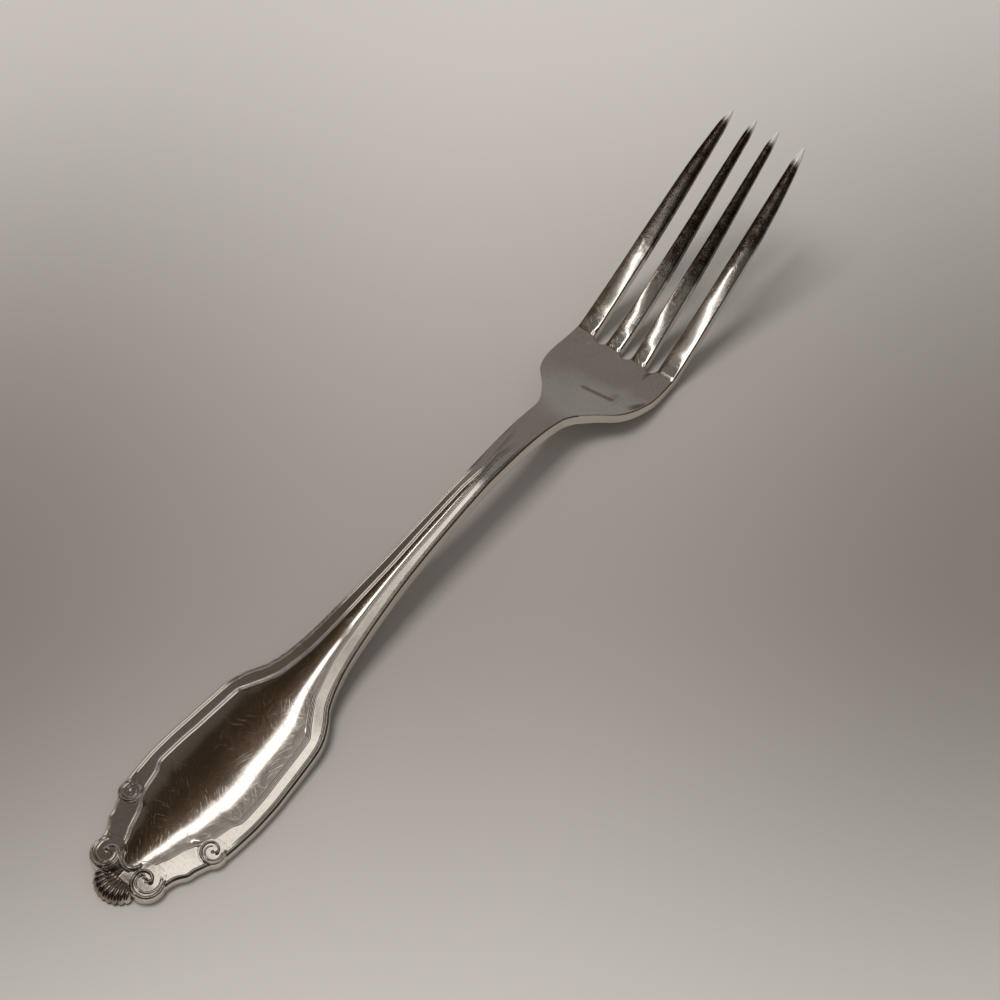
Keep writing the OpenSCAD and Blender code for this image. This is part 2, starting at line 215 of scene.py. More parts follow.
@dataclass(frozen=True)
class ForkForm:
    """The plain form of the whole fork, without its ornament. Sizes in millimetres.

    Places along the fork run from 0 at the handle's end to its full length at the tips.
    Spans and curves have places as shares of that length.

    Attributes:
        length: Length from the shell to the tips.
        handle_half: Half the greatest width of the handle.
        stem_half: Half the least width of the stem.
        head_half: Half the greatest width of the head.
        arch_rise: Height of the underside at the top of the arch.
        tip_rise: Height of the underside at the tips.
        handle_t: Thickness of the handle's edge.
        stem_t: Thickness of the stem, gained over stem_span.
        head_t: Thickness of the palm, gained over head_span.
        tine_tip_t: Thickness of a tine near its tip, gained over tine_span.
        rest_flat: Metal ground off where the fork rests.
        dish_h: Rise of the palm from its middle to its sides.
        dish_grow: Span over which the dish appears.
        dish_fade: Span over which it is lost along the tines.
        step_span: Span over which it turns into a level step for each pair of tines.
        step_low: Share of the dish at which the inner tines start.
        step_high: How much higher the outer tines start.
        step_side: Places across between which one step meets the other.
        edge_r: Radius of the rounded edges.
        edge_slant: The most that a slanting outline widens a rounded edge.
        blade_from: Where the blade starts.
        stem_from: Where the stem starts.
        neck_from: Where the neck starts.
        palm_from: Where the palm starts.
        root: Where the tines start and the slots have their centres.
        handle_swell: How far the outline swells from the stem to the handle.
        head_swell: How far it swells from the stem to the head.
        inner_line: Place of the inner thread, as a share of the half width.
        arch: Rise of the underside from the handle to the palm.
        tip: Rise of the underside along the tines.
    """

    length: float = 200.0
    handle_half: float = 13.2
    stem_half: float = 2.8
    head_half: float = 12.3
    arch_rise: float = 8.8
    tip_rise: float = 27.8
    handle_t: float = 2.3
    stem_t: float = 3.0
    stem_span: tuple = (0.2, 0.5)
    head_t: float = 2.4
    head_span: tuple = (0.6, 0.74)
    tine_tip_t: float = 1.5
    tine_span: tuple = (0.77, 1)
    rest_flat: float = 0.25
    dish_h: float = 1.2
    dish_grow: tuple = (0.61, 0.73)
    dish_fade: tuple = (0.8, 1)
    step_span: tuple = (0.697, 0.763)
    step_low: float = 0.07
    step_high: float = 0.58
    step_side: tuple = (4.8, 8.6)
    edge_r: float = 0.42
    edge_slant: float = 1.6
    blade_from: float = 4.6
    stem_from: float = 60.0
    neck_from: float = 112.0
    palm_from: float = 131.0
    root: float = 153.0
    handle_swell: Curve = Curve((
        (0.023, 0.40), (0.029, 0.45), (0.038, 0.49), (0.048, 0.53), (0.053, 0.575),
        (0.0575, 0.64), (0.0615, 0.69), (0.067, 0.71), (0.074, 0.765), (0.079, 0.805),
        (0.084, 0.87), (0.090, 0.905), (0.096, 0.935), (0.108, 0.965), (0.121, 0.985),
        (0.134, 1), (0.154, 0.995), (0.180, 0.957), (0.205, 0.913), (0.226, 0.865),
        (0.237, 0.80), (0.250, 0.67), (0.264, 0.49), (0.288, 0.325), (0.312, 0.23),
        (0.358, 0.135), (0.408, 0.065), (0.46, 0.03), (0.53, 0)), 0.0012)
    head_swell: Curve = Curve((
        (0.53, 0), (0.587, 0.026), (0.637, 0.07), (0.652, 0.18), (0.668, 0.405),
        (0.689, 0.80), (0.709, 0.947), (0.730, 1), (0.765, 0.98)), 0.003)
    inner_line: Curve = Curve((
        (0.023, 0.04), (0.032, 0.05), (0.0345, 0.20), (0.038, 0.34), (0.0475, 0.425),
        (0.0575, 0.44), (0.0675, 0.50), (0.0775, 0.52), (0.086, 0.545), (0.091, 0.61),
        (0.0985, 0.645), (0.1115, 0.675), (0.1205, 0.70), (0.1295, 0.765),
        (0.1565, 0.758), (0.18, 0.745), (0.205, 0.74), (0.2275, 0.732), (0.233, 0.685),
        (0.2415, 0.625), (0.256, 0.55), (0.2765, 0.507), (0.297, 0.448), (0.3325, 0.394),
        (0.373, 0.338), (0.414, 0.29), (0.46, 0.30), (0.505, 0.276), (0.545, 0.12),
        (0.59, 0.3), (0.68, 0.55), (0.78, 0.55)), 0.0018)
    arch: Curve = Curve((
        (0.165, 0), (0.22, 0.07), (0.256, 0.19), (0.30, 0.37), (0.358, 0.61),
        (0.41, 0.77), (0.46, 0.89), (0.535, 1), (0.565, 1), (0.597, 0.95),
        (0.637, 0.747), (0.678, 0.41), (0.70, 0.232), (0.72, 0.087), (0.737, 0.01),
        (0.75, 0)), 0.008)
    tip: Curve = Curve((
        (0.761, 0), (0.765, 0.0061), (0.77, 0.0214), (0.78, 0.0565), (0.79, 0.0935),
        (0.81, 0.169), (0.83, 0.2486), (0.85, 0.3322), (0.87, 0.4188), (0.89, 0.508),
        (0.925, 0.6702), (0.96, 0.8307), (0.975, 0.8984), (0.9875, 0.9519), (1, 1)), 0.0012)

    def half_w(self, x: np.ndarray) -> np.ndarray:
        """Half width: the stem's, plus what the handle and the head swell by."""
        s = x / self.length
        return (self.stem_half + (self.handle_half - self.stem_half) * self.handle_swell.at(s)
                + (self.head_half - self.stem_half) * self.head_swell.at(s))

    def lean(self, line: Callable, x: np.ndarray) -> np.ndarray:
        """How far a line across the fork leans at x, from its places 0.1 mm apart."""
        return (line(x + 0.05) - line(x - 0.05)) / 0.1

    def inner(self, x: np.ndarray) -> np.ndarray:
        """Half width of the smooth panel inside the inner thread."""
        return self.half_w(x) * self.inner_line.at(x / self.length)

    def edge_reach(self, x: np.ndarray) -> np.ndarray:
        """Width of the rounded edge, measured straight across the fork."""
        slant = np.hypot(1, self.lean(self.half_w, x))
        return self.edge_r * np.minimum(slant, self.edge_slant)

    def thick(self, x: np.ndarray) -> np.ndarray:
        """Thickness: the handle's, then the stem's, the palm's and the tines'.

        Args:
            x: Places along the fork.

        Returns:
            The thickness at each place.
        """
        s = x / self.length
        back = mix(self.handle_t, self.stem_t, ramp(*self.stem_span, s))
        palm = mix(back, self.head_t, ramp(*self.head_span, s))
        return mix(palm, self.tine_tip_t, ramp(*self.tine_span, s))

    def under(self, x: np.ndarray) -> np.ndarray:
        """Height of the underside: the arch, then the rise of the tines, less the flat."""
        s = x / self.length
        return self.arch_rise * self.arch.at(s) + self.tip_rise * self.tip.at(s) - self.rest_flat

    def dish(self, x: np.ndarray, y: np.ndarray) -> np.ndarray:
        """Rise of the palm towards its sides.

        It grows with the square of the place across, and turns into a level step for
        each pair of tines where they start.

        Args:
            x: Places along the fork.
            y: Places across it.

        Returns:
            The rise at each place.
        """
        s, side = x / self.length, np.abs(y)
        bowl = (side / self.head_half) ** 2
        steps = self.step_low + self.step_high * ramp(*self.step_side, side)
        grown = self.dish_h * ramp(*self.dish_grow, s) * (1 - ramp(*self.dish_fade, s))
        return grown * mix(bowl, steps, ramp(*self.step_span, s))

    def face(self, x: np.ndarray, y: np.ndarray) -> np.ndarray:
        """Height of the plain upper face."""
        return self.under(x) + self.thick(x) + self.dish(x, y)

    def sole(self, x: np.ndarray, y: np.ndarray) -> np.ndarray:
        """Height of the underside, ground flat where the fork rests."""
        return np.maximum(self.under(x) + self.dish(x, y), 0.0)


def shade_normals(points: np.ndarray, wrap_rows: bool, wrap_cols: bool) -> np.ndarray:
    """Normals of a grid: the cross product of its steps along rows and columns.

    Args:
        points: Grid of points, rows by columns by three.
        wrap_rows: Whether the last row joins the first.
        wrap_cols: Whether the last column joins the first.

    Returns:
        Unit vectors in the grid's shape; zero at a pole.
    """
    def step(axis: int, wrap: bool) -> np.ndarray:
        """Central difference along an axis, one-sided at an open end."""
        if wrap:
            return np.roll(points, -1, axis) - np.roll(points, 1, axis)
        return np.gradient(points, axis=axis)
    n = np.cross(step(0, wrap_rows), step(1, wrap_cols))
    size = np.linalg.norm(n, axis=2, keepdims=True)
    return n / np.where(size > 1e-12, size, 1.0)


@dataclass
class Skin:
    """The faces of one closed piece, gathered grid by grid and welded at the end.

    Attributes:
        corners: Four points of each face; a triangle repeats one of them.
        normals: The shading normal at each of those corners.
    """

    corners: list = field(default_factory=list)
    normals: list = field(default_factory=list)

    def grid(self, points: np.ndarray, normals: np.ndarray, wrap_rows: bool = False,
             wrap_cols: bool = False, out: int = 1) -> None:
        """Adds every cell of a grid as a face.

        Args:
            points: Grid of points, rows by columns by three.
            normals: Outward normals at those points.
            wrap_rows: Whether the last row joins the first.
            wrap_cols: Whether the last column joins the first.
            out: 1 where rows cross columns points outwards, otherwise -1.
        """
        def cells(a: np.ndarray) -> np.ndarray:
            """Takes a grid apart into its cells.

            Args:
                a: Grid of values, rows by columns by three.

            Returns:
                The four corners of each cell, in the order that faces outwards.
            """
            if wrap_rows:
                a = np.concatenate([a, a[:1]], 0)
            if wrap_cols:
                a = np.concatenate([a, a[:, :1]], 1)
            quad = [a[:-1, :-1], a[1:, :-1], a[1:, 1:], a[:-1, 1:]]
            return np.stack(quad if out > 0 else quad[::-1], 2).reshape(-1, 4, 3)
        self.corners.append(cells(points))
        self.normals.append(cells(normals))

    def band(self, first: np.ndarray, second: np.ndarray, normals: np.ndarray,
             facing: np.ndarray) -> None:
        """Adds a strip between two lines of equal length.

        Args:
            first: Points of one line.
            second: Points of the other.
            normals: Normal at each place of the lines.
            facing: A direction on the strip's outer side, to set its winding.
        """
        points = np.stack([first, second])
        turn = np.cross(points[1, :-1] - points[0, :-1], points[0, 1:] - points[0, :-1]).sum(0)
        self.grid(points, np.stack([normals, normals]), out=1 if turn @ facing > 0 else -1)

    def cap(self, upper: np.ndarray, lower: np.ndarray, normal: tuple) -> None:
        """Closes the gap between an upper and a lower line with triangles.

        Args:
            upper: Points of the upper line, with at least as many as the lower one.
            lower: Points of the lower line, running the same way.
            normal: The direction that the closing face looks in.
        """
        m, k = len(upper), len(lower)
        below = (np.arange(m) * (k - 1)) // (m - 1)
        tops = np.stack([upper[:-1], upper[1:], lower[below[:-1]], lower[below[:-1]]], 1)
        jumps = np.nonzero(np.diff(below))[0]
        lows = np.stack([upper[jumps + 1], lower[below[jumps] + 1], lower[below[jumps]],
                         lower[below[jumps]]], 1)
        faces = np.concatenate([tops, lows])
        turn = np.cross(faces[:, 1] - faces[:, 0], faces[:, 2] - faces[:, 0]).sum(0)
        if turn @ np.array(normal) < 0:
            faces = faces[:, [1, 0, 2, 3]]
        self.corners.append(faces)
        self.normals.append(np.broadcast_to(np.array(normal, float), faces.shape))

    def loft(self, upper: np.ndarray, lower: np.ndarray) -> np.ndarray:
        """Adds the rings of a long piece: its upper face, walls and underside.

        Args:
            upper: Rows of points across the top, left to right, with one row more than
                the piece has at each end, which only serve the normals.
            lower: The same for the underside.

        Returns:
            The ring's points without the two spare rows.
        """
        ring = np.concatenate([upper, lower[:, ::-1]], 1)
        normals = shade_normals(ring, False, True)[1:-1]
        ring = ring[1:-1]
        away = (normals * (ring - ring.mean(1, keepdims=True))).sum()
        self.grid(ring, normals if away > 0 else -normals, wrap_cols=True,
                  out=1 if away > 0 else -1)
        return ring

    def build(self, name: str) -> bpy.types.Object:
        """Welds the corners that coincide and makes the object.

        Args:
            name: Name of the object and of its mesh.

        Returns:
            The new object, at the origin, with its place in its mesh.
        """
        corners = np.concatenate(self.corners)
        normals = np.concatenate(self.normals)
        grain = np.round(corners.reshape(-1, 3) * WELD).astype(np.int64) + 2 ** (WELD_BITS - 2)
        key = (grain[:, 0] << 2 * WELD_BITS) + (grain[:, 1] << WELD_BITS) + grain[:, 2]
        _, first, index = np.unique(key, return_index=True, return_inverse=True)
        index = index.reshape(-1, 4)
        keep = index != np.roll(index, 1, axis=1)
        whole = keep.sum(1) >= 3
        index, keep, normals = index[whole], keep[whole], normals[whole]
        sizes = keep.sum(1)
        place = (corners.reshape(-1, 3)[first] - ORIGIN) * MM
        mesh = bpy.data.meshes.new(name)
        mesh.vertices.add(len(place))
        mesh.vertices.foreach_set("co", place.ravel())
        mesh.loops.add(int(sizes.sum()))
        mesh.loops.foreach_set("vertex_index", index[keep].astype(np.int32))
        mesh.polygons.add(len(sizes))
        starts = np.concatenate([[0], np.cumsum(sizes)[:-1]]).astype(np.int32)
        mesh.polygons.foreach_set("loop_start", starts)
        mesh.polygons.foreach_set("use_smooth", np.ones(len(sizes), bool))
        mesh.update(calc_edges=True)
        shading = normals[keep]
        shading /= np.maximum(np.linalg.norm(shading, axis=1, keepdims=True), 1e-9)
        mesh.normals_split_custom_set(shading.tolist())
        return placed(name, mesh)


@dataclass(frozen=True)
class Scroll:
    """One curl of the border, left of the middle. Sizes in millimetres.

    Attributes:
        x: Place of its eye along the fork.
        y: Place of its eye across the fork.
        radius: Outer radius of its boss.
        outer: Radius of the outer ridge at rising angles, in degrees.
        inner: Radius of the finer ridge inside it.
        bare: Angles between which its rim is the fork's own edge.
        full_radius: Radius of the boss at which the widths below hold.
        ridge_size: Height and half width of the outer ridge.
        fine_size: The same of the finer ridge.
        knob_size: The same of the knob where the outer ridge ends.
        pit_size: Depth and half width of the eye.
        start: Half the angle over which a ridge rises.
        finish: Angle over which it ends.
        slim: Its width at the end, as a share of its width at the start.
        knob_back: Angle from the ridge's end back to the knob.
    """

    x: float
    y: float
    radius: float
    outer: Curve
    inner: Curve
    bare: tuple
    full_radius: float = 3.5
    ridge_size: tuple = (0.2, 0.42)
    fine_size: tuple = (0.1, 0.28)
    knob_size: tuple = (0.28, 0.62)
    pit_size: tuple = (0.12, 0.55)
    start: float = 12
    finish: float = 25
    slim: float = 0.7
    knob_back: float = 15

    def polar(self, x: np.ndarray, side: np.ndarray) -> tuple[np.ndarray, np.ndarray]:
        """Distance from the eye and the angle in degrees, from 0 to 360."""
        dx, dy = x - self.x, side - self.y
        return np.hypot(dx, dy), np.degrees(np.arctan2(dy, dx)) % 360.0

    def ridge(self, r: np.ndarray, angle: np.ndarray, line: Curve, half: float) -> np.ndarray:
        """Rounded ridge along a spiral, over as many turns as its line has.

        A point's distance from the ridge is the difference between its radius and the
        spiral's radius at its angle, on whichever turn is nearest.

        Args:
            r: Distances from the eye.
            angle: Angles about the eye, in degrees.
            line: The spiral's radius at rising angles.
            half: Half width of the ridge where it starts.

        Returns:
            Heights from 0 to 1.
        """
        first, last = line.pairs[0][0], line.pairs[-1][0]
        height = np.zeros_like(r)
        for turn in range(int(last // 360) + 1):
            a = angle + 360.0 * turn
            seen = ramp(first - self.start, first + self.start, a)
            seen = seen * (1 - ramp(last - self.finish, last, a))
            slim = mix(1.0, self.slim, (a - first) / (last - first))
            height = np.maximum(height, seen * peak(r - line.at(a), half * slim))
        return height

    def height(self, x: np.ndarray, side: np.ndarray) -> np.ndarray:
        """The curl's relief: two spiral ridges, a knob where they end and the eye's pit.

        Args:
            x: Places along the fork.
            side: Distances from its middle line.

        Returns:
            The relief's height above the boss.
        """
        r, angle = self.polar(x, side)
        fit = self.radius / self.full_radius
        last, r_last = self.outer.pairs[-1]
        a = math.radians(last - self.knob_back)
        knob_x = self.x + r_last * math.cos(a)
        knob_y = self.y + r_last * math.sin(a)
        (ridge_h, ridge_half), (fine_h, fine_half) = self.ridge_size, self.fine_size
        (knob_h, knob_half), (pit_h, pit_half) = self.knob_size, self.pit_size
        raised = np.maximum(ridge_h * self.ridge(r, angle, self.outer, ridge_half * fit),
                            fine_h * self.ridge(r, angle, self.inner, fine_half * fit))
        knob = knob_h * bump(np.hypot(x - knob_x, side - knob_y), knob_half * fit)
        return np.maximum(raised, knob) - pit_h * bump(r, pit_half * fit)

    def inside(self, x: np.ndarray, side: np.ndarray, soft: float = 0.45) -> np.ndarray:
        """1 within the boss, falling to 0 at its rim over a soft width."""
        return 1 - ramp(self.radius - soft, self.radius, self.polar(x, side)[0])


@dataclass(frozen=True)
class Border:
    """The ornament of the handle: crowned panel, threads, beads, collar and scrolls.

    Sizes are in millimetres, and spans along the fork run from its end.

    Attributes:
        form: The plain form that carries it.
        crown: Rise of the panel from its edge to its middle at the widest place.
        crown_fade: Span, as shares of the length, over which panel and channel fade.
        panel_share: Widest place of the panel as a share of the handle's half width.
        channel: How far the panel's edge stands above the fork's edge.
        full_wide: Half width of the fork at which the ridges have their full size.
        least_fit: The smallest share of that size.
        bead_in: Distance of the bead from the edge; line_in is that of the finer line.
        bead_half: Half width of the bead; line_half and thread_half are the others'.
        bead_h: Height of the bead; line_h and thread_h are the others'.
        line_span: Span over which the finer line starts.
        thread_gap: Distance of both threads from the panel's edge.
        thread_outer: Height of the outer thread as a share of the inner one's.
        thread_span: Span over which the threads start.
        thread_slant: The most that the slant of the panel's edge counts.
        fade: Span, as shares of the length, over which all ridges fade.
        collar_x: Centre of the curved collar between panel and shell.
        collar_r: Its radius.
        collar_half: Its half width.
        collar_h: Its height.
        collar_side: Angles in degrees over which its ends fade.
        end_scroll: The larger curl beside the shell.
        side_scroll: The smaller curl.
    """

    form: ForkForm = ForkForm()
    crown: float = 0.5
    crown_fade: tuple = (0.565, 0.65)
    panel_share: float = 0.76
    channel: Curve = Curve(((0.05, 0.8), (0.14, 0.53), (0.22, 0.5), (0.32, 0.3)), 0.004)
    full_wide: float = 7.0
    least_fit: float = 0.8
    bead_in: float = 0.5
    bead_half: float = 0.26
    bead_h: float = 0.12
    line_in: float = 0.96
    line_half: float = 0.2
    line_h: float = 0.08
    line_span: tuple = (20, 24)
    thread_gap: float = 0.27
    thread_half: float = 0.24
    thread_h: float = 0.095
    thread_outer: float = 0.75
    thread_span: tuple = (8.6, 10.2)
    thread_slant: float = 2.5
    fade: tuple = (0.53, 0.63)
    collar_x: float = 8.9
    collar_r: float = 2.27
    collar_half: float = 0.52
    collar_h: float = 0.24
    collar_side: tuple = (62, 90)
    end_scroll: Scroll = Scroll(
        6.9, 4.7, 3.5,
        Curve(((55, 3.1), (100, 3.12), (135, 3.12), (163, 3.05), (212, 2.7), (240, 2.42),
               (284, 2.1), (318, 1.8), (360, 1.4), (400, 1.05), (440, 0.8))),
        Curve(((40, 2.75), (70, 2.5), (108, 2.25), (153, 2.08), (203, 1.92), (226, 1.78),
               (270, 1.45), (320, 1.15))),
        (52, 222))
    side_scroll: Scroll = Scroll(
        18.3, 10.0, 2.6,
        Curve(((50, 2.25), (95, 2.27), (136, 2.25), (178, 2.12), (219, 2.02), (257, 1.97),
               (291, 1.92), (320, 1.8), (356, 1.45), (400, 1.08), (440, 0.8))),
        Curve(((60, 1.72), (120, 1.62), (178, 1.5), (230, 1.38), (290, 1.15), (330, 0.95))),
        (48, 150))

    def fit(self, wide: np.ndarray) -> np.ndarray:
        """Share of their full size that the ridges have at a half width."""
        return np.clip(wide / self.full_wide, self.least_fit, 1.0)

    def plain(self, x: np.ndarray, side: np.ndarray) -> np.ndarray:
        """Height of the smooth panel and of the channel beside it.

        The panel is a parabola over the width inside the threads, on the channel's
        rise. Outside it the channel falls in a straight line to the edge.

        Args:
            x: Places along the fork.
            side: Distances from its middle line.

        Returns:
            The height at each place.
        """
        form = self.form
        wide, line = form.half_w(x), form.inner(x)
        size = line / (form.handle_half * self.panel_share)
        arch = self.crown * size * (1 - np.clip(side / line, 0, 1) ** 2)
        rise = self.channel.at(x / form.length)
        fall = rise * np.clip((wide - side) / (wide - line), 0, 1)
        return np.where(side < line, rise + arch, fall)

    def ridges(self, x: np.ndarray, side: np.ndarray) -> np.ndarray:
        """Height of the two threads, the bead and the finer line beside it.

        Each is a ridge over the distance from the panel's edge or from the outline,
        and all of them stop at the scrolls.

        Args:
            x: Places along the fork.
            side: Distances from its middle line.

        Returns:
            The greatest of the ridges at each place.
        """
        form, slant = self.form, self.thread_slant
        wide, line = form.half_w(x), form.inner(x)
        edge = (wide - side) / np.hypot(1.0, form.lean(form.half_w, x))
        off = (line - side) / np.hypot(1.0, np.clip(form.lean(form.inner, x), -slant, slant))
        fit = self.fit(wide)
        gap, half = self.thread_gap * fit, self.thread_half * fit
        thread = self.thread_h * fit * np.maximum(peak(off - gap, half),
                                                  self.thread_outer * peak(off + gap, half))
        bead = self.bead_h * fit * peak(edge - self.bead_in * fit, self.bead_half * fit)
        fine = self.line_h * fit * peak(edge - self.line_in * fit, self.line_half * fit)
        clear = np.ones_like(side + x)
        for scroll in (self.end_scroll, self.side_scroll):
            clear = clear * (1 - scroll.inside(x, side))
        thread, fine = thread * ramp(*self.thread_span, x), fine * ramp(*self.line_span, x)
        return clear * np.maximum(np.maximum(thread, bead), fine)

    def relief(self, x: np.ndarray, y: np.ndarray) -> np.ndarray:
        """Height of the ornament above the fork's plain face.

        The collar is a round ridge on an arc about its centre, and the curls are added
        to the ridges. All of it fades where the stem runs into the neck.

        Args:
            x: Places along the fork.
            y: Places across it.

        Returns:
            The ornament's height at each place.
        """
        side, place = np.abs(y), x / self.form.length
        back = np.hypot(x - self.collar_x, side)
        turn = np.degrees(np.arctan2(side, self.collar_x - x))
        collar = self.collar_h * bump(back - self.collar_r, self.collar_half)
        collar = collar * (1 - ramp(*self.collar_side, turn))
        curls = sum(s.inside(x, side, 0.1) * s.height(x, side)
                    for s in (self.end_scroll, self.side_scroll))
        fade, crown_fade = 1 - ramp(*self.fade, place), 1 - ramp(*self.crown_fade, place)
        return (crown_fade * self.plain(x, side)
                + fade * (np.maximum(self.ridges(x, side), collar) + curls))


class Slot(Enum):
    """The record's material slots."""

    POLISHED = "polished_metal"
    TINE = "tine_metal"
    ORNAMENT = "ornament_metal"


class Wire:
    """A socket of a node tree, with operators that add Math nodes."""

    def __init__(self, graph: "Graph", socket: bpy.types.NodeSocket) -> None:
        """Keeps the graph and the socket that this value comes from."""
        self.graph = graph
        self.socket = socket

    def _math(self, operation: str, *values: "Wire | float") -> "Wire":
        """One Math node on these values."""
        return self.graph.add("ShaderNodeMath", {"operation": operation}, dict(enumerate(values)))

    def __add__(self, other: "Wire | float") -> "Wire":
        """Sum of two values."""
        return self._math("ADD", self, other)

    def __sub__(self, other: "Wire | float") -> "Wire":
        """Difference of two values."""
        return self._math("SUBTRACT", self, other)

    def __rsub__(self, other: "Wire | float") -> "Wire":
        """Difference with the value on the right."""
        return self._math("SUBTRACT", other, self)

    def __mul__(self, other: "Wire | float") -> "Wire":
        """Product of two values."""
        return self._math("MULTIPLY", self, other)

    def __truediv__(self, other: "Wire | float") -> "Wire":
        """Quotient of two values."""
        return self._math("DIVIDE", self, other)

    def __rtruediv__(self, other: "Wire | float") -> "Wire":
        """Quotient with the value below the line on the right."""
        return self._math("DIVIDE", other, self)

    __radd__ = __add__
    __rmul__ = __mul__

    def top(self, other: "Wire | float") -> "Wire":
        """The greater of two values."""
        return self._math("MAXIMUM", self, other)

    def size(self) -> "Wire":
        """The value without its sign."""
        return self._math("ABSOLUTE", self)

    def step(self, low: float, high: float) -> "Wire":
        """Smooth step from 0 at low to 1 at high."""
        return self.graph.add("ShaderNodeMapRange", {"interpolation_type": "SMOOTHSTEP"},
                              {"Value": self, "From Min": low, "From Max": high})


class Graph:
    """A node tree that is built from Python expressions."""

    def __init__(self, tree: bpy.types.NodeTree) -> None:
        """Empties the tree and keeps it."""
        self.tree = tree
        tree.nodes.clear()

    def add(self, kind: str, settings: dict | None = None, values: dict | None = None,
            out: int | str = 0) -> Wire:
        """Adds one node.

        Args:
            kind: Blender's name of the node's type.
            settings: Attributes to set first; "stops" gives a ramp's places and colours.
            values: Numbers, colours or wires by the socket's name or number.
            out: The output to return.

        Returns:
            A wire from that output.
        """
        node = self.tree.nodes.new(kind)
        for name, value in (settings or {}).items():
            if name == "stops":
                ramp_stops = node.color_ramp.elements
                while len(ramp_stops) < len(value):
                    ramp_stops.new(0.5)
                for stop, (place, colour) in zip(ramp_stops, value):
                    stop.position, stop.color = place, colour
            else:
                setattr(node, name, value)
        for name, value in (values or {}).items():
            if isinstance(value, Wire):
                self.tree.links.new(value.socket, node.inputs[name])
            else:
                node.inputs[name].default_value = value
        return Wire(self, node.outputs[out])

    def finish(self, kind: str, surface: Wire) -> None:
        """Adds the output node and links the surface to it."""
        end = self.tree.nodes.new(kind)
        self.tree.links.new(surface.socket, end.inputs["Surface"])

    def colour(self, a: Wire | tuple, b: Wire | tuple, share: Wire) -> Wire:
        """Mixes two colours by a share."""
        return self.add("ShaderNodeMix", {"data_type": "RGBA"}, {0: share, 6: a, 7: b}, 2)

    def noise(self, place: Wire, scale: float, detail: float = 2.0) -> Wire:
        """Noise of a scale per metre, between 0 and 1."""
        return self.add("ShaderNodeTexNoise", {},
                        {"Vector": place, "Scale": scale, "Detail": detail})

    def stretched(self, place: Wire, turn: float, scale: tuple) -> Wire:
        """Coordinates turned about the vertical and stretched."""
        turned = self.add("ShaderNodeMapping", {}, {"Vector": place, "Rotation": (0, 0, turn)})
        return self.add("ShaderNodeMapping", {}, {"Vector": turned, "Scale": scale})

    def axes(self, place: Wire) -> list[Wire]:
        """The x, y and z of a place."""
        parts = self.add("ShaderNodeSeparateXYZ", {}, {0: place}).socket.node.outputs
        return [Wire(self, part) for part in parts]

    def push(self, height: Wire, strength: float, distance: float) -> Wire:
        """A normal tilted by a height, whose whole range is a distance in metres."""
        return self.add("ShaderNodeBump", {}, {
            "Strength": strength, "Distance": distance, "Height": height})


def grey(level: float, warm: float = 0.0) -> tuple[float, ...]:
    """A colour of one level, whose red rises and blue falls by a share."""
    return (level * (1 + warm), level, level * (1 - COOL * warm), 1.0)


def painted(name: str) -> tuple[bpy.types.Material, Graph]:
    """Makes a material.

    Args:
        name: Name of the material.

    Returns:
        The material and the graph of its nodes.
    """
    mat = bpy.data.materials.new(name)
    mat.use_nodes = True
    return mat, Graph(mat.node_tree)


@dataclass(frozen=True)
class BodyWearAndReflection:
    """Wear of the handle, palm and ornament, and a painted dark-brown reflection down the panel.
    Lengths in metres in the shared frame.

    Attributes:
        film_and_reflection_y: Middle line of the browned part of the panel, which is partly film
            and partly a painted dark-brown reflection.
        film_and_reflection_side: Distances from that line over which the brown fades.
        film_and_reflection_end: Places along the fork over which it ends.
        thin: Share of the film that stays elsewhere.
        spots: Values of the fine noise over which a pale spot shows.
        spot_pale: How pale a spot is.
        smudge: How much film the palm's smudge adds.
        smudge_x: Place of the smudge on the middle line.
        smudge_slant: How far it slants along the fork for each metre across.
        smudge_edge: Distances over which its long edges fade.
        smudge_y: Its middle across the fork.
        smudge_end: Distances over which its ends fade.
        shell: How much film the shell adds.
        shell_from: Distances behind the frame's origin over which it starts.
        shell_side: Distances from the middle line over which it ends.
    """

    film_and_reflection_y: float = -0.0006
    film_and_reflection_side: tuple = (0.0012, 0.0062)
    film_and_reflection_end: tuple = (-0.055, -0.035)
    thin: float = 0.35
    spots: tuple = (0.66, 0.74)
    spot_pale: float = 0.25
    smudge: float = 0.7
    smudge_x: float = 0.03946
    smudge_slant: float = 0.115
    smudge_edge: tuple = (0.0002, 0.0008)
    smudge_y: float = -0.0025
    smudge_end: tuple = (0.0030, 0.0042)
    shell: float = 0.6
    shell_from: tuple = (0.0938, 0.0948)
    shell_side: tuple = (0.0030, 0.0040)

    def lay(self, g: Graph, place: Wire, fine: Wire, film: Wire,
            stained: float) -> tuple[Wire, Wire, Wire | float]:
        """Lays the film, smudge, shell, pale spots and the panel's painted dark-brown reflection
        over a piece.

        Args:
            g: The material's graph.
            place: Object coordinates.
            fine: The fine noise.
            film: The even film, from 0 to 1.
            stained: How much of it the finish has.

        Returns:
            The film with the panel's painted dark-brown reflection, how pale each place is, and
            how far it is bare metal.
        """
        x, y, _ = g.axes(place)
        # Painted dark-brown reflection: the film is full down the panel's middle and thinner
        # elsewhere.
        middle = 1 - (y - self.film_and_reflection_y).size().step(*self.film_and_reflection_side)
        middle = middle * (1 - x.step(*self.film_and_reflection_end))
        film = film * (self.thin + (1 - self.thin) * middle) * stained
        across = (x + self.smudge_slant * y - self.smudge_x).size().step(*self.smudge_edge)
        ends = (y - self.smudge_y).size().step(*self.smudge_end)
        film = film + self.smudge * (1 - across) * (1 - ends)
        shell = (x * -1.0).step(*self.shell_from) * (1 - y.size().step(*self.shell_side))
        return film + self.shell * shell, fine.step(*self.spots) * self.spot_pale, 1.0


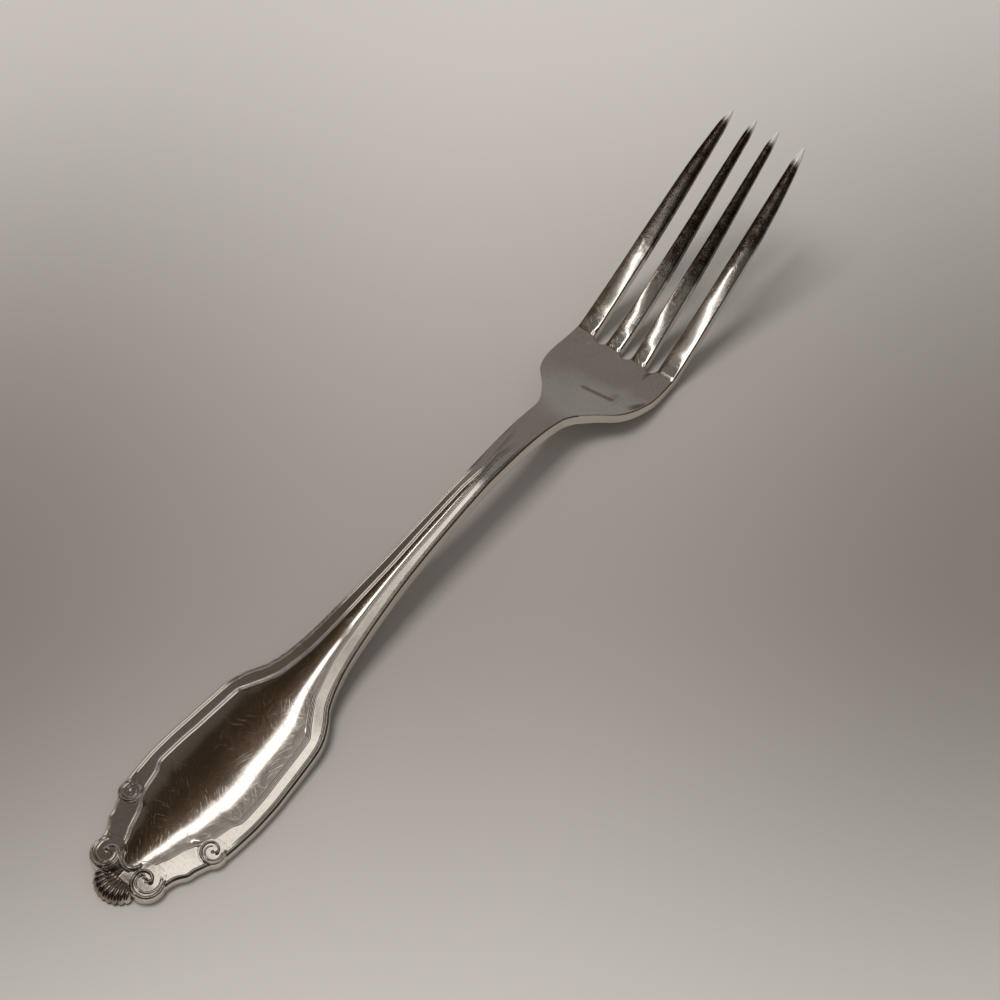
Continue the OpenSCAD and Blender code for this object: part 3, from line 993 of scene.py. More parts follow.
@dataclass(frozen=True)
class TineStainAndPaintedLight:
    """Dark stain along the far part of the tines, partly a painted dark reflection, and painted
    highlights on the tips.

    Lengths are in metres in the shared frame.

    Attributes:
        blotches: Scale and detail of the blotches in the stain.
        blotch_step: Values of their noise over which the stain is denser.
        blotch_film: Least film in the stain, and what the blotches add.
        near_film: Share of the even film that the near part keeps.
        far_from: Places over which the stain starts; it is partly tarnish, partly a painted dark
            reflection.
        ragged: How far the blotches move that start.
        spread: How much later it starts for each metre from the middle line.
        late: How much later still for each metre beyond late_y on the right.
        late_y: Distance from the middle line at which that begins.
        tip_from: Places over which a tip's painted highlight starts.
        tip_slant: How much later it starts for each metre to the left.
        tip_highlight_loss: Share of stain and metal that a tip loses, which paints its highlight.
        tip_highlight: How pale a tip's painted highlight is.
        clear: Share of the film that the outer left tine lacks near its root.
        clear_y: Distances over which that tine starts.
        clear_x: Places over which its clearer part ends.
        pits: Scale and detail of the pale pits.
        pit_step: Values of their noise over which a pit shows.
        pit_pale: How pale a pit is.
    """

    blotches: tuple = (620.0, 5.0)
    blotch_step: tuple = (0.62, 0.38)
    blotch_film: tuple = (0.86, 0.14)
    near_film: float = 0.12
    far_from: tuple = (0.0725, 0.0765)
    ragged: float = 0.012
    spread: float = 0.2
    late: float = 1.8
    late_y: float = 0.006
    tip_from: tuple = (0.0960, 0.0983)
    tip_slant: float = 0.06
    tip_highlight_loss: float = 0.9
    tip_highlight: float = 2.0
    clear: float = 0.25
    clear_y: tuple = (0.0080, 0.0090)
    clear_x: tuple = (0.080, 0.087)
    pits: tuple = (2200.0, 2.0)
    pit_step: tuple = (0.57, 0.66)
    pit_pale: float = 0.35

    def lay(self, g: Graph, place: Wire, fine: Wire, film: Wire,
            stained: float) -> tuple[Wire, Wire, Wire | float]:
        """Lays the stain, its painted dark reflection and the tips' painted highlights over a
        tine.

        Args:
            g: The material's graph.
            place: Object coordinates.
            fine: The fine noise, which a tine leaves to its pits.
            film: The even film, from 0 to 1.
            stained: How much of it the finish has.

        Returns:
            The film with its painted dark reflection, how pale each place is with the tips'
            painted highlights, and how far it is bare metal, which falls at the tips.
        """
        x, y, _ = g.axes(place)
        blotch = g.noise(place, *self.blotches)
        late = self.late * (-1.0 * y - self.late_y).top(0.0)
        # Past far_from each tine turns near-black with blotches: partly tarnish, partly a painted
        # dark reflection.
        far = (x + self.ragged * blotch - self.spread * y.size() - late).step(*self.far_from)
        # Painted highlight on the tips: film and metal fall there and the colour goes pale.
        tip = (x - self.tip_slant * y).step(*self.tip_from)
        left_by_highlight = 1 - self.tip_highlight_loss * tip
        least, more = self.blotch_film
        film = (far * (least + more * blotch.step(*self.blotch_step)) * left_by_highlight
                + (1 - far) * film * self.near_film)
        film = film * (1 - self.clear * y.step(*self.clear_y) * (1 - x.step(*self.clear_x)))
        pits = g.noise(place, *self.pits).step(*self.pit_step) * far
        return film * stained, pits * self.pit_pale + self.tip_highlight * tip, left_by_highlight


@dataclass(frozen=True)
class Metal:
    """Polished metal with fine scratches, haze, specks, film, pale spots, painted dark reflections
    and painted highlights on the tine tips.

    Attributes:
        tint: Colour of the clean metal.
        stain: Colour of the film that dulls it, which also paints dark reflections on the panel
            and the far tines.
        stained: How much of the film there is.
        rough: Roughness of the clean metal.
        haze: What the film adds to the roughness.
        scratch: How deep the scratches are.
        specks: How dense the pale specks are.
        wear_and_light: Where the film is thick and the metal pale or bare, with painted dark
            reflections and painted tip highlights among them.
    """

    tint: tuple
    stain: tuple
    stained: float
    rough: float
    haze: float
    scratch: float
    specks: float
    wear_and_light: BodyWearAndReflection | TineStainAndPaintedLight = BodyWearAndReflection()

    # Noises, as a scale per metre and a detail, and the values over which they show.
    BROAD, BROAD_STEP = (130.0, 4.0), (0.35, 0.7)
    FINE, FINE_STEP = (1900.0, 3.0), (0.45, 0.7)
    SPECK, SPECK_STEP = (3300.0, 1.0), (0.74, 0.79)
    SWELL = (260.0, 1.0)
    HAIR_STEP, PATCH_STEP = (0.635, 0.755), (0.42, 0.60)
    # Directions of the scratches in radians, and scales along, across and through them.
    TURNS = (0.35, 1.2, -0.7, 2.2)
    HAIR, SHORTER = (240.0, 15000.0, 900.0), 60
    PATCH = (160.0, 160.0, 160.0)
    # What scratches and specks add to the paleness and to the roughness; the pale colour also
    # paints the tines' tip highlights.
    PALE_AND_HIGHLIGHT = grey(0.86, 0.03)
    HAIR_PALE, PALE_SHARE = 0.3, 0.5
    HAIR_ROUGH, SPECK_ROUGH = 0.2, 0.2
    # Shares of the swell, the fine noise and the scratches in the bump's height.
    SWELL_H, FINE_H, HAIR_H = 0.5, 0.05, 0.4
    PUSH, PUSH_RANGE = 0.35, 0.00002

    def scratches(self, g: Graph, place: Wire) -> Wire:
        """Hairlines in four directions, each where a broad noise lets it show.

        Args:
            g: The material's graph.
            place: Object coordinates.

        Returns:
            1 on a scratch and 0 beside it.
        """
        lines = None
        for k, turn in enumerate(self.TURNS):
            along, across, through = self.HAIR
            thin = g.stretched(place, turn, (along + self.SHORTER * k, across, through))
            hair, where = g.noise(thin, 1.0, 1.0), g.stretched(place, turn + 1, self.PATCH)
            line = hair.step(*self.HAIR_STEP) * g.noise(where, 1.0, 1.0).step(*self.PATCH_STEP)
            lines = line if lines is None else lines.top(line)
        return lines

    def material(self, name: str) -> bpy.types.Material:
        """Builds the material.

        Args:
            name: Name of the material.

        Returns:
            A metal whose colour, roughness and bump follow the film, specks and scratches, and the
            painted reflections and highlights laid with them.
        """
        mat, g = painted(name)
        place = g.add("ShaderNodeTexCoord", out="Object")
        broad, fine = g.noise(place, *self.BROAD), g.noise(place, *self.FINE)
        hair = self.scratches(g, place)
        film = broad.step(*self.BROAD_STEP) * 0.5 + fine.step(*self.FINE_STEP) * 0.5
        film, pale, bare = self.wear_and_light.lay(g, place, fine, film, self.stained)
        speck = g.noise(place, *self.SPECK).step(*self.SPECK_STEP) * self.specks
        shade = g.colour(self.tint, self.stain, film)
        # Paleness of specks and scratches, and on the tines the tips' painted highlight.
        pale = (pale + speck + self.HAIR_PALE * hair) * self.PALE_SHARE
        shade = g.colour(shade, self.PALE_AND_HIGHLIGHT, pale)
        rough = self.rough + self.haze * film + self.HAIR_ROUGH * hair + self.SPECK_ROUGH * speck
        swell = g.noise(place, *self.SWELL) * self.SWELL_H
        height = swell + fine * self.FINE_H - hair * self.HAIR_H * self.scratch
        push = g.push(height, self.PUSH, self.PUSH_RANGE)
        # Metallic falls at the tines' tips, for their painted highlight.
        metal = g.add("ShaderNodeBsdfPrincipled", {}, {
            "Base Color": shade, "Metallic": bare, "Roughness": rough, "Normal": push})
        g.finish("ShaderNodeOutputMaterial", metal)
        return mat


FINISHES = {
    # The polished metal's brown stain also paints the panel's dark-brown reflection.
    Slot.POLISHED: Metal(
        tint=(0.80, 0.765, 0.705, 1), stain=(0.30, 0.205, 0.15, 1), stained=0.55,
        rough=0.055, haze=0.06, scratch=0.3, specks=0.5),
    # The tines' near-black stain is partly tarnish, partly a painted dark reflection.
    Slot.TINE: Metal(
        tint=(0.78, 0.74, 0.68, 1), stain=(0.08, 0.047, 0.029, 1), stained=1.0,
        rough=0.06, haze=0.16, scratch=0.3, specks=0.5, wear_and_light=TineStainAndPaintedLight()),
    Slot.ORNAMENT: Metal(
        tint=(0.78, 0.74, 0.675, 1), stain=(0.22, 0.155, 0.11, 1), stained=0.6,
        rough=0.07, haze=0.06, scratch=0.2, specks=0.3),
}


@dataclass
class Workshop:
    """Turns finished skins into pieces that ride on the fork's one body."""

    materials: dict = field(default_factory=dict)

    def hand_over(self, skin: Skin, node: str, slot: Slot) -> None:
        """Builds a piece, dresses it and lets it stand for its node.

        Args:
            skin: The piece's faces.
            node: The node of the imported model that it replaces.
            slot: Its material slot.
        """
        piece = skin.build(f"{node}_metal")
        if slot not in self.materials:
            self.materials[slot] = FINISHES[slot].material(slot.value)
        piece.data.materials.append(self.materials[slot])
        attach(piece, BODY)
        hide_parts(node)
        LOG.info("%s: %d faces", piece.name, len(piece.data.polygons))


@dataclass
class Handle:
    """The blade, stem and neck: long lofts whose sections share one ornament.

    Attributes:
        border: The form and its ornament. Sizes in millimetres.
        cells: Cells across a half: panel, threads, channel and bead.
        arc_cells: Cells round the upper edge.
        sole_cells: Cells across half of the underside.
        sole_arc_cells: Cells round the lower edge.
        thread_room: Half width of the strip with fine cells about the threads.
        bead_room: Width of the one along the edge.
        least_panel: Least share of the panel's width left outside the threads' strip.
        most_room: The most of the channel's width that a strip takes.
        scroll_press: How far the blade is set down below a scroll.
        scroll_rim: Distances inside the scroll's rim over which that happens.
        shell_press: How far it is set down below the shell.
        shell_x: Centre of the shell's fan.
        shell_rim: Distances from it over which that happens.
        shell_side: Angles in degrees over which it ends.
        fine_to: Where the blade's fine rows end.
        blade_steps: Steps between rows of the blade, before and after that.
        stem_step: Step between rows of the stem.
        neck_step: Step between rows of the neck.
    """

    border: Border
    cells: tuple = (12, 24, 6, 26)
    arc_cells: int = 6
    sole_cells: int = 6
    sole_arc_cells: int = 4
    thread_room: float = 0.62
    bead_room: float = 1.0
    least_panel: float = 0.3
    most_room: float = 0.45
    scroll_press: float = 0.3
    scroll_rim: tuple = (0.4, 0.02)
    shell_press: float = 0.7
    shell_x: float = 9.0
    shell_rim: tuple = (2.72, 2.95)
    shell_side: tuple = (60, 75)
    fine_to: float = 25.0
    blade_steps: tuple = (0.11, 0.24)
    stem_step: float = 0.4
    neck_step: float = 0.3

    def columns(self, x: np.ndarray) -> tuple[np.ndarray, np.ndarray]:
        """Places across the upper face and the fall of its rounded edge.

        Args:
            x: Places along the fork, as one column.

        Returns:
            Half rows from the middle outwards, and how far each place falls.
        """
        form, border = self.border.form, self.border
        wide, line, soft = form.half_w(x), form.inner(x), form.edge_reach(x)
        arc = quarter(self.arc_cells + 1)[None, 1:]
        fit, last = border.fit(wide), wide - soft
        band = last - line
        knots = (0 * line, np.maximum(line - self.thread_room * fit, self.least_panel * line),
                 line + np.minimum(self.thread_room * fit, self.most_room * band),
                 last - np.minimum(self.bead_room * fit, self.most_room * band), last)
        parts = [low + (high - low) * np.linspace(0, 1, n + 1)[None, :-1]
                 for low, high, n in zip(knots[:-1], knots[1:], self.cells)]
        half = np.concatenate(parts + [last, last + soft * np.sin(arc)], 1)
        fall = np.zeros_like(half)
        fall[:, -self.arc_cells:] = form.edge_r * (1 - np.cos(arc))
        return half, fall

    def sole_row(self, x: np.ndarray) -> np.ndarray:
        """Points of the underside, left to right, with rounded edges.

        Args:
            x: Places along the fork, as one column.

        Returns:
            A row of points for each place.
        """
        form = self.border.form
        wide, soft = form.half_w(x), form.edge_reach(x)
        arc = quarter(self.sole_arc_cells + 1)[None, 1:]
        flat = (wide - soft) * np.linspace(0, 1, self.sole_cells + 1)[None, :]
        half = np.concatenate([flat, wide - soft + soft * np.sin(arc)], 1)
        rise = np.concatenate([0 * flat, form.edge_r * (1 - np.cos(arc)) + 0 * wide], 1)
        y = both_sides(half)
        return stack(x, y, form.sole(x, y) + both_sides(rise, 1.0))

    def press(self, x: np.ndarray, y: np.ndarray) -> np.ndarray:
        """How far the blade is set down where a scroll or the shell lies over it.

        Args:
            x: Places along the fork.
            y: Places across it.

        Returns:
            The greatest of the smooth steps inside the scrolls' and the shell's rims.
        """
        side, (rim, clear) = np.abs(y), self.scroll_rim
        deep = np.zeros_like(side + x)
        for scroll in (self.border.end_scroll, self.border.side_scroll):
            r = scroll.polar(x, side)[0]
            step = 1 - ramp(scroll.radius - rim, scroll.radius - clear, r)
            deep = np.maximum(deep, self.scroll_press * step)
        fan = ramp(*self.shell_rim, np.hypot(x - self.shell_x, side))
        turn = np.degrees(np.arctan2(side, self.shell_x - x))
        return np.maximum(deep, self.shell_press * fan * (1 - ramp(*self.shell_side, turn)))

    def rows(self, stops: list) -> np.ndarray:
        """Places along the fork, with one spare place at each end.

        Args:
            stops: Pairs of a place and the step that leads up to it; the first pair's
                step isn't used.

        Returns:
            The places as one column.
        """
        places = [np.array([stops[0][0]])]
        for (start, _), (end, step) in zip(stops[:-1], stops[1:]):
            n = max(1, round((end - start) / step))
            places.append(np.linspace(start, end, n + 1)[1:])
        x = np.concatenate(places)
        return np.concatenate([[x[0] - SPARE], x, [x[-1] + SPARE]])[:, None]

    def region(self, stops: list, pressed: bool) -> Skin:
        """Lofts one region between two places along the fork.

        Args:
            stops: Places and steps, as rows() takes them.
            pressed: Whether scrolls and shell lie over it.

        Returns:
            The closed skin of the region.
        """
        form, skin, x = self.border.form, Skin(), self.rows(stops)
        half, fall = self.columns(x)
        y = both_sides(half)
        z = form.face(x, y) + self.border.relief(x, y) - both_sides(fall, 1.0)
        if pressed:
            z = z - self.press(x, y)
        upper, lower = stack(x, y, z), self.sole_row(x)
        skin.loft(upper, lower)
        skin.cap(upper[1], lower[1], (-1, 0, 0))
        skin.cap(upper[-2], lower[-2], (1, 0, 0))
        return skin

    def build(self, shop: Workshop) -> None:
        """Builds the blade, the stem and the neck.

        Args:
            shop: The workshop that they are handed over to.
        """
        form, (fine, coarse) = self.border.form, self.blade_steps
        blade, stem, neck = form.blade_from, form.stem_from, form.neck_from
        for node, *stops in (
                ("handle_blade", (blade, 0), (self.fine_to, fine), (stem, coarse)),
                ("stem", (stem, 0), (neck, self.stem_step)),
                ("neck", (neck, 0), (form.palm_from, self.neck_step))):
            shop.hand_over(self.region(stops, node == "handle_blade"), node, Slot.POLISHED)


@dataclass
class Ornament:
    """The four scroll bosses and the fan shell at the handle's end.

    Attributes:
        border: The form and its ornament. Sizes in millimetres, angles in degrees.
        proud: How far a boss stands above the blade's own height.
        turn_cells: Cells round a boss.
        ring_places: Places from its eye to its rounded rim.
        arc_places: Places round that rim.
        bare_soft: Half the angle over which its rim becomes the fork's own edge.
        foot_round: Two steps of its lower edge, inwards and upwards.
        ribs: Ribs of the shell.
        rib_cells: Cells across a rib.
        rib_round: Power that makes a rib plump.
        rib_mid: Share of a rib's height that lies below the face.
        rib_low: Height of a rib at the root.
        rib_high: Its height at the rim.
        rib_grow: Power with which it grows in between.
        fan_x: Centre and reach of the fan.
        fan_angle: Half its angle.
        fan_side: Its reach at the sides, as a share of that at the middle.
        scallop: Share of the reach that its rim falls back between ribs.
        root_r: Radius of its root.
        roll_from: Share of the way to the rim at which the face rolls over.
        places: Places up to there, and from there to the rim.
        root_z: Height of the face at the root.
        waist: How far it sinks in between, up to the share waist_to.
        waist_to: Where it has risen again.
        slope: How far it falls to the rim.
        rim_z: Height at which the rim turns under.
        rim_in: How far its lower edge lies inside it.
        tuck: How far the shell is set down below a scroll.
        tuck_rim: Distances inside and beyond the scroll's rim over which that happens.
    """

    border: Border
    proud: float = 0.01
    turn_cells: int = 180
    ring_places: int = 40
    arc_places: int = 8
    bare_soft: float = 12
    foot_round: tuple = (0.1, 0.12, 0.35)
    ribs: int = 9
    rib_cells: int = 16
    rib_round: float = 0.6
    rib_mid: float = 0.62
    rib_low: float = 0.05
    rib_high: float = 0.5
    rib_grow: float = 1.8
    fan_x: float = 9.0
    fan_angle: float = 36.0
    fan_side: float = 0.86
    scallop: float = 0.045
    root_r: float = 2.35
    roll_from: float = 0.7
    places: tuple = (34, 26)
    root_z: float = 2.2
    waist: float = 0.42
    waist_to: float = 0.62
    slope: float = 0.2
    rim_z: float = 0.55
    rim_in: float = 0.1
    tuck: float = 0.6
    tuck_rim: tuple = (0.3, 0.05)

    def scroll(self, scroll: Scroll, side: int) -> Skin:
        """A round boss whose face carries its curl.

        The top is a polar grid of the blade's own height, so it lies flush with it, and
        its rim is rounded only where it is the fork's edge.

        Args:
            scroll: The curl.
            side: 1 for the left, -1 for the right.

        Returns:
            The closed skin of the boss.
        """
        form, skin, full = self.border.form, Skin(), scroll.radius
        turn = np.linspace(0, 2 * np.pi, self.turn_cells, endpoint=False)[:, None]
        inner = np.linspace(0, 1, self.ring_places)[None, :] * (full - form.edge_r)
        arc = quarter(self.arc_places)[None, 1:]
        r = np.concatenate([inner, full - form.edge_r * (1 - np.sin(arc))], 1)
        x, y = scroll.x + r * np.cos(turn), scroll.y + r * np.sin(turn)
        angle, soft = np.degrees(turn), self.bare_soft
        low, high = scroll.bare
        bare = ramp(low - soft, low + soft, angle) * (1 - ramp(high - soft, high + soft, angle))
        z = (form.face(x, y) + self.border.relief(x, y) + self.proud
             - bare * round_edge(full - r, form.edge_r))
        inwards, upwards, far = self.foot_round
        foot = np.array([[full, full - inwards, full - far, 0.0]])
        foot_z = np.array([[far, upwards, 0.0, 0.0]])
        upper = stack(x, side * y, z)
        lower = stack(scroll.x + foot * np.cos(turn), side * (scroll.y + foot * np.sin(turn)),
                      foot_z)
        grid = np.concatenate([upper, lower], 1)
        normals = shade_normals(grid, True, False)
        middle = np.array([scroll.x, side * scroll.y, form.handle_t / 2])
        out = 1 if (normals * (grid - middle)).sum() > 0 else -1
        normals = normals * out
        normals[:, 0], normals[:, -1] = (0, 0, 1), (0, 0, -1)
        skin.grid(grid, normals, wrap_rows=True, out=out)
        return skin

    def shell(self) -> Skin:
        """The fan: ribs that widen and swell to a plump scalloped rim.

        A place on it is an angle about the fan's centre and a share v of the way to its
        rim. Ribs are the size of a cosine over the angle, their height grows with v, and
        near the rim the face rolls over in a quarter ellipse.

        Returns:
            The closed skin of the shell.
        """
        skin, full, curl = Skin(), self.fan_x, self.roll_from
        a = np.linspace(-self.fan_angle, self.fan_angle, self.ribs * self.rib_cells + 1)
        spare = a[1] - a[0]
        a = np.concatenate([[a[0] - spare], a, [a[-1] + spare]])[:, None]
        wave = np.abs(np.cos(np.radians(a / self.fan_angle * 90 * self.ribs)))
        plump = wave**self.rib_round
        face, rolled = self.places
        v = np.concatenate([np.linspace(0, curl, face),
                            curl + (1 - curl) * np.sin(quarter(rolled))[1:]])[None, :]
        rim = (full * mix(1.0, self.fan_side, (a / self.fan_angle) ** 2)
               * (1 - self.scallop + self.scallop * plump))
        sine, cosine = np.sin(np.radians(a)), np.cos(np.radians(a))
        r = mix(self.root_r, rim, v)
        x, y = full - r * cosine, r * sine
        roll = np.sqrt(np.maximum(1 - np.clip((v - curl) / (1 - curl), 0, 1) ** 2, 0))
        sunk = self.waist * np.sin(np.pi * np.clip(v / self.waist_to, 0, 1))
        body = self.root_z - sunk - self.slope * v
        rib = mix(self.rib_low, self.rib_high, v**self.rib_grow) * (plump - self.rib_mid)
        scroll, (within, beyond) = self.border.end_scroll, self.tuck_rim
        over = 1 - ramp(scroll.radius - within, scroll.radius + beyond,
                        scroll.polar(x, np.abs(y))[0])
        z = self.rim_z + (body + rib - self.rim_z) * roll - self.tuck * over * roll
        upper = stack(x, y, z)
        low_r = mix(self.root_r, rim - self.rim_in, np.array([[0.0, 0.5, 1.0]]))
        lower = stack(full - low_r * cosine, low_r * sine, 0.0)
        skin.loft(upper, lower)
        for row, way in ((1, -1), (-2, 1)):
            t = math.radians(float(a[row, 0]))
            skin.cap(upper[row], lower[row], (way * math.sin(t), way * math.cos(t), 0))
        return skin

    def build(self, shop: Workshop) -> None:
        """Builds the shell and the four scrolls.

        Args:
            shop: The workshop that they are handed over to.
        """
        shop.hand_over(self.shell(), "end_shell", Slot.ORNAMENT)
        for label, scroll in (("end", self.border.end_scroll), ("side", self.border.side_scroll)):
            for hand, side in (("left", 1), ("right", -1)):
                shop.hand_over(self.scroll(scroll, side), f"{label}_scroll_{hand}", Slot.ORNAMENT)


@dataclass
class Head:
    """The palm with its slot ends, and the four tines.

    Sizes are in millimetres. Along a tine, u runs from 0 at its root to 1 at its tip.

    Attributes:
        form: The plain form.
        slot_r: Radius of a slot's round end.
        pitch: Distance between the centres of two slots' ends.
        inner_tip: Place across of an inner tine's tip.
        outer_tip: Place across of an outer tine's tip.
        tip_w: Width of a tine near its tip.
        lift: How much higher the inner tips stand.
        short: How much shorter the inner tines are.
        slot_edge: Radius of the edges along the slots.
        small_edge: The most of a tine's half width that such an edge takes.
        coin_w: Width of the soft slope beside a slot's end.
        coin_h: Fall of that slope.
        tine_h: Fall of a tine's back to its edges near the root.
        far_h: The same further out.
        far_span: Values of u over which it grows to that.
        round_span: Values of u over which the slopes widen to the whole tine.
        level_span: Values of u over which the dish levels out across a tine.
        start_span: Values of u over which width and place may start to change.
        point_from: Value of u from which the point is rounded.
        point_share: Share of a quarter ellipse that the point draws in.
        point_power: Power of that ellipse.
        point_thin: Share of the thickness that goes from above and from below.
        turn_cells: Cells round a slot's end.
        root_cells: Cells across a tine's root.
        rim_cells: Cells of the outer root's cells that lie on the rounded edge.
        palm_rows: Rows along the palm, and the power that crowds them at the slots.
        palm_spare: Shares of the palm at which its two spare rows lie.
        near_slot: Places from the root over which slopes and edges start.
        tine_rows: Rows up to the point, the power that crowds them, and rows on it.
        tine_spare: Value of u of a tine's spare row before the root.
        tine_places: Places across a tine.
        outer_narrow: How far an outer tine has narrowed at u.
        outer_drift: How far it has moved over to its tip's place.
        inner_narrow: The same as outer_narrow, for an inner tine.
        inner_drift: The same as outer_drift, for an inner tine.
    """

    form: ForkForm
    slot_r: float = 1.4
    pitch: float = 6.4
    inner_tip: float = 2.7
    outer_tip: float = 8.8
    tip_w: float = 1.4
    lift: float = 1.4
    short: float = 0.5
    slot_edge: float = 0.28
    small_edge: float = 0.6
    coin_w: float = 0.9
    coin_h: float = 0.07
    tine_h: float = 0.075
    far_h: float = 0.3
    far_span: tuple = (0.3, 0.6)
    round_span: tuple = (0.0, 0.08)
    level_span: tuple = (0.0, 0.03)
    start_span: tuple = (-0.001, 0.05)
    point_from: float = 0.9
    point_share: float = 0.985
    point_power: float = 2.4
    point_thin: float = 0.42
    turn_cells: int = 16
    root_cells: int = 20
    rim_cells: int = 6
    palm_rows: tuple = (101, 1.35)
    palm_spare: tuple = (-0.004, 1.001)
    near_slot: tuple = (-2.6, -1.2)
    tine_rows: tuple = (111, 1.4, 26)
    tine_spare: float = -0.001
    tine_places: int = 33
    outer_narrow: Curve = Curve(((0, 0), (0.25, 0.14), (0.5, 0.2), (0.75, 0.44), (0.9, 0.76),
                                 (1, 1)), 0.03)
    outer_drift: Curve = Curve(((0, 0), (0.25, 0.09), (0.5, 0.22), (0.75, 0.46), (1, 1)), 0.03)
    inner_narrow: Curve = Curve(((0, 0), (0.25, 0.16), (0.5, 0.36), (0.75, 0.66), (1, 1)), 0.03)
    inner_drift: Curve = Curve(((0, 0), (0.25, 0.6), (0.5, 0.7), (0.75, 0.77), (1, 1)), 0.03)

    def slot_gap(self, x: np.ndarray, y: np.ndarray) -> np.ndarray:
        """Distance of a place on the palm from the nearest slot end.

        Args:
            x: Places along the fork.
            y: Places across it.

        Returns:
            The least distance from the three round ends, 0 inside them.
        """
        side = np.abs(y)
        d = [np.hypot(x - self.form.root, side - c) - self.slot_r for c in (0.0, self.pitch)]
        return np.maximum(np.minimum(*d), 0.0)

    def palm_columns(self) -> tuple[np.ndarray, np.ndarray, np.ndarray, tuple]:
        """Half row of the palm's last places across and along, middle first.

        Slot ends are arcs in even angles, and the inner roots have their places closer
        towards both sides as a sine has over half a turn.

        Returns:
            Places across, places along, the fall of the outer edge, and the number of
            cells in each stretch: slot end, root, slot end, root.
        """
        form, root, r = self.form, self.form.root, self.slot_r
        turns, roots, rim = self.turn_cells, self.root_cells, self.rim_cells
        plain = float(form.half_w(np.array(root))) - form.edge_r
        first, turn = quarter(turns // 2 + 1), half_turn(turns + 1)[1:]
        arc = quarter(rim + 1)[1:]
        inner_mid, inner_half = self.pitch / 2, self.pitch / 2 - r
        outer_from = self.pitch + r
        last = outer_from + (plain - outer_from) * (1 - np.cos(quarter(roots - rim + 1)))
        y = np.concatenate([
            r * np.sin(first), inner_mid + inner_half * np.sin(half_turn(roots + 1)[1:]),
            self.pitch + r * np.sin(turn), last[1:], plain + form.edge_r * np.sin(arc)])
        x = np.concatenate([root - r * np.cos(first), np.full(roots, root),
                            root - r * np.cos(turn), np.full(roots, root)])
        fall = np.zeros_like(y)
        fall[-rim:] = form.edge_r * (1 - np.cos(arc))
        return y, x, fall, (turns // 2, roots, turns, roots)

    def slot_walls(self, skin: Skin, top: np.ndarray, low: np.ndarray, counts: tuple) -> None:
        """Adds the palm's end walls: round ones at the slots, flat ones at the roots.

        Args:
            skin: The palm's skin.
            top: Last row of points of the upper face.
            low: Last row of points of the underside.
            counts: Cells in each stretch from the middle outwards.
        """
        middle, stops = len(top) // 2, np.cumsum((0,) + counts)
        for k in range(len(counts)):
            for way in (1, -1):
                at = middle + way * np.arange(stops[k], stops[k + 1] + 1)
                if k % 2:
                    normals = np.tile([1.0, 0.0, 0.0], (len(at), 1))
                else:
                    centre = np.array([self.form.root, -way * (self.pitch if k else 0.0), 0.0])
                    normals = (centre - top[at]) * [1, 1, 0]
                    normals /= np.linalg.norm(normals, axis=1, keepdims=True)
                skin.band(top[at], low[at], normals, normals.mean(0))

    def palm(self) -> Skin:
        """The dished plate: columns run from the neck to the slot ends and tine roots.

        Returns:
            The closed skin of the palm.
        """
        form, skin = self.form, Skin()
        y_end, x_end, fall, counts = self.palm_columns()
        y_end = both_sides(y_end[None, :])
        x_end, fall = both_sides(x_end[None, :], 1.0), both_sides(fall[None, :], 1.0)
        rows, power = self.palm_rows
        before, after = self.palm_spare
        v = 1 - (1 - np.linspace(0, 1, rows)) ** power
        v = np.concatenate([[before], v, [after]])[:, None]
        x = form.palm_from + (x_end - form.palm_from) * v
        y = y_end * form.half_w(x) / form.half_w(x_end)
        near, gap = ramp(*self.near_slot, x - form.root), self.slot_gap(x, y)
        edge = coined(gap, self.coin_w, self.coin_h, self.slot_edge)
        upper = stack(x, y, form.face(x, y) - edge * near - fall)
        lower = stack(x, y, form.sole(x, y) + fall + near * round_edge(gap, self.slot_edge))
        skin.loft(upper, lower)
        skin.cap(upper[1], lower[1], (-1, 0, 0))
        self.slot_walls(skin, upper[-2], lower[-2], counts)
        return skin

    def tine(self, outer: bool, side: int) -> Skin:
        """One tine, from the palm's end to its rounded point.

        Its middle moves over and its width narrows with its own curves, its upper face
        changes from coined edges at the root to one round back, and near the point both
        width and thickness draw in as a quarter ellipse.

        Args:
            outer: Whether it is the outer tine of its pair.
            side: 1 for the left, -1 for the right.

        Returns:
            The closed skin of the tine.
        """
        form, skin, point = self.form, Skin(), self.point_from
        tip_x = form.length - (0 if outer else self.short)
        rows, power, point_rows = self.tine_rows
        u = np.concatenate([[self.tine_spare], point * np.linspace(0, 1, rows) ** power,
                            point + (1 - point) * np.sin(quarter(point_rows))[1:], [1.0]])[:, None]
        x = mix(form.root, tip_x, u)
        inside = self.slot_r + (self.pitch if outer else 0)
        outside = float(form.half_w(np.array(form.root))) if outer else self.pitch - self.slot_r
        start = ramp(*self.start_span, u)
        narrow = (self.outer_narrow if outer else self.inner_narrow).at(u) * start
        drift = (self.outer_drift if outer else self.inner_drift).at(u) * start
        tip_y = self.outer_tip if outer else self.inner_tip
        gone = self.point_share * np.clip((u - point) / (1 - point), 0, 1)
        draw = np.sqrt(np.maximum(1 - gone**self.point_power, 0))
        middle = mix((inside + outside) / 2, tip_y, drift)
        half = draw * mix(outside - inside, self.tip_w, narrow) / 2
        t = -np.sin(half_turn(self.tine_places))[None, :]
        y = middle + t * half
        gap_out, gap_in = half * (1 - t), half * (1 + t)
        rounder = ramp(*self.round_span, u)
        width = mix(np.minimum(self.coin_w, half), half, rounder)
        high = mix(self.coin_h, self.tine_h, rounder)
        high = mix(high, self.far_h, ramp(*self.far_span, u)) * draw
        small = np.minimum(self.slot_edge, half * self.small_edge)
        fall_in, fall_out = (coined(gap, width, high, small) for gap in (gap_in, gap_out))
        if outer:
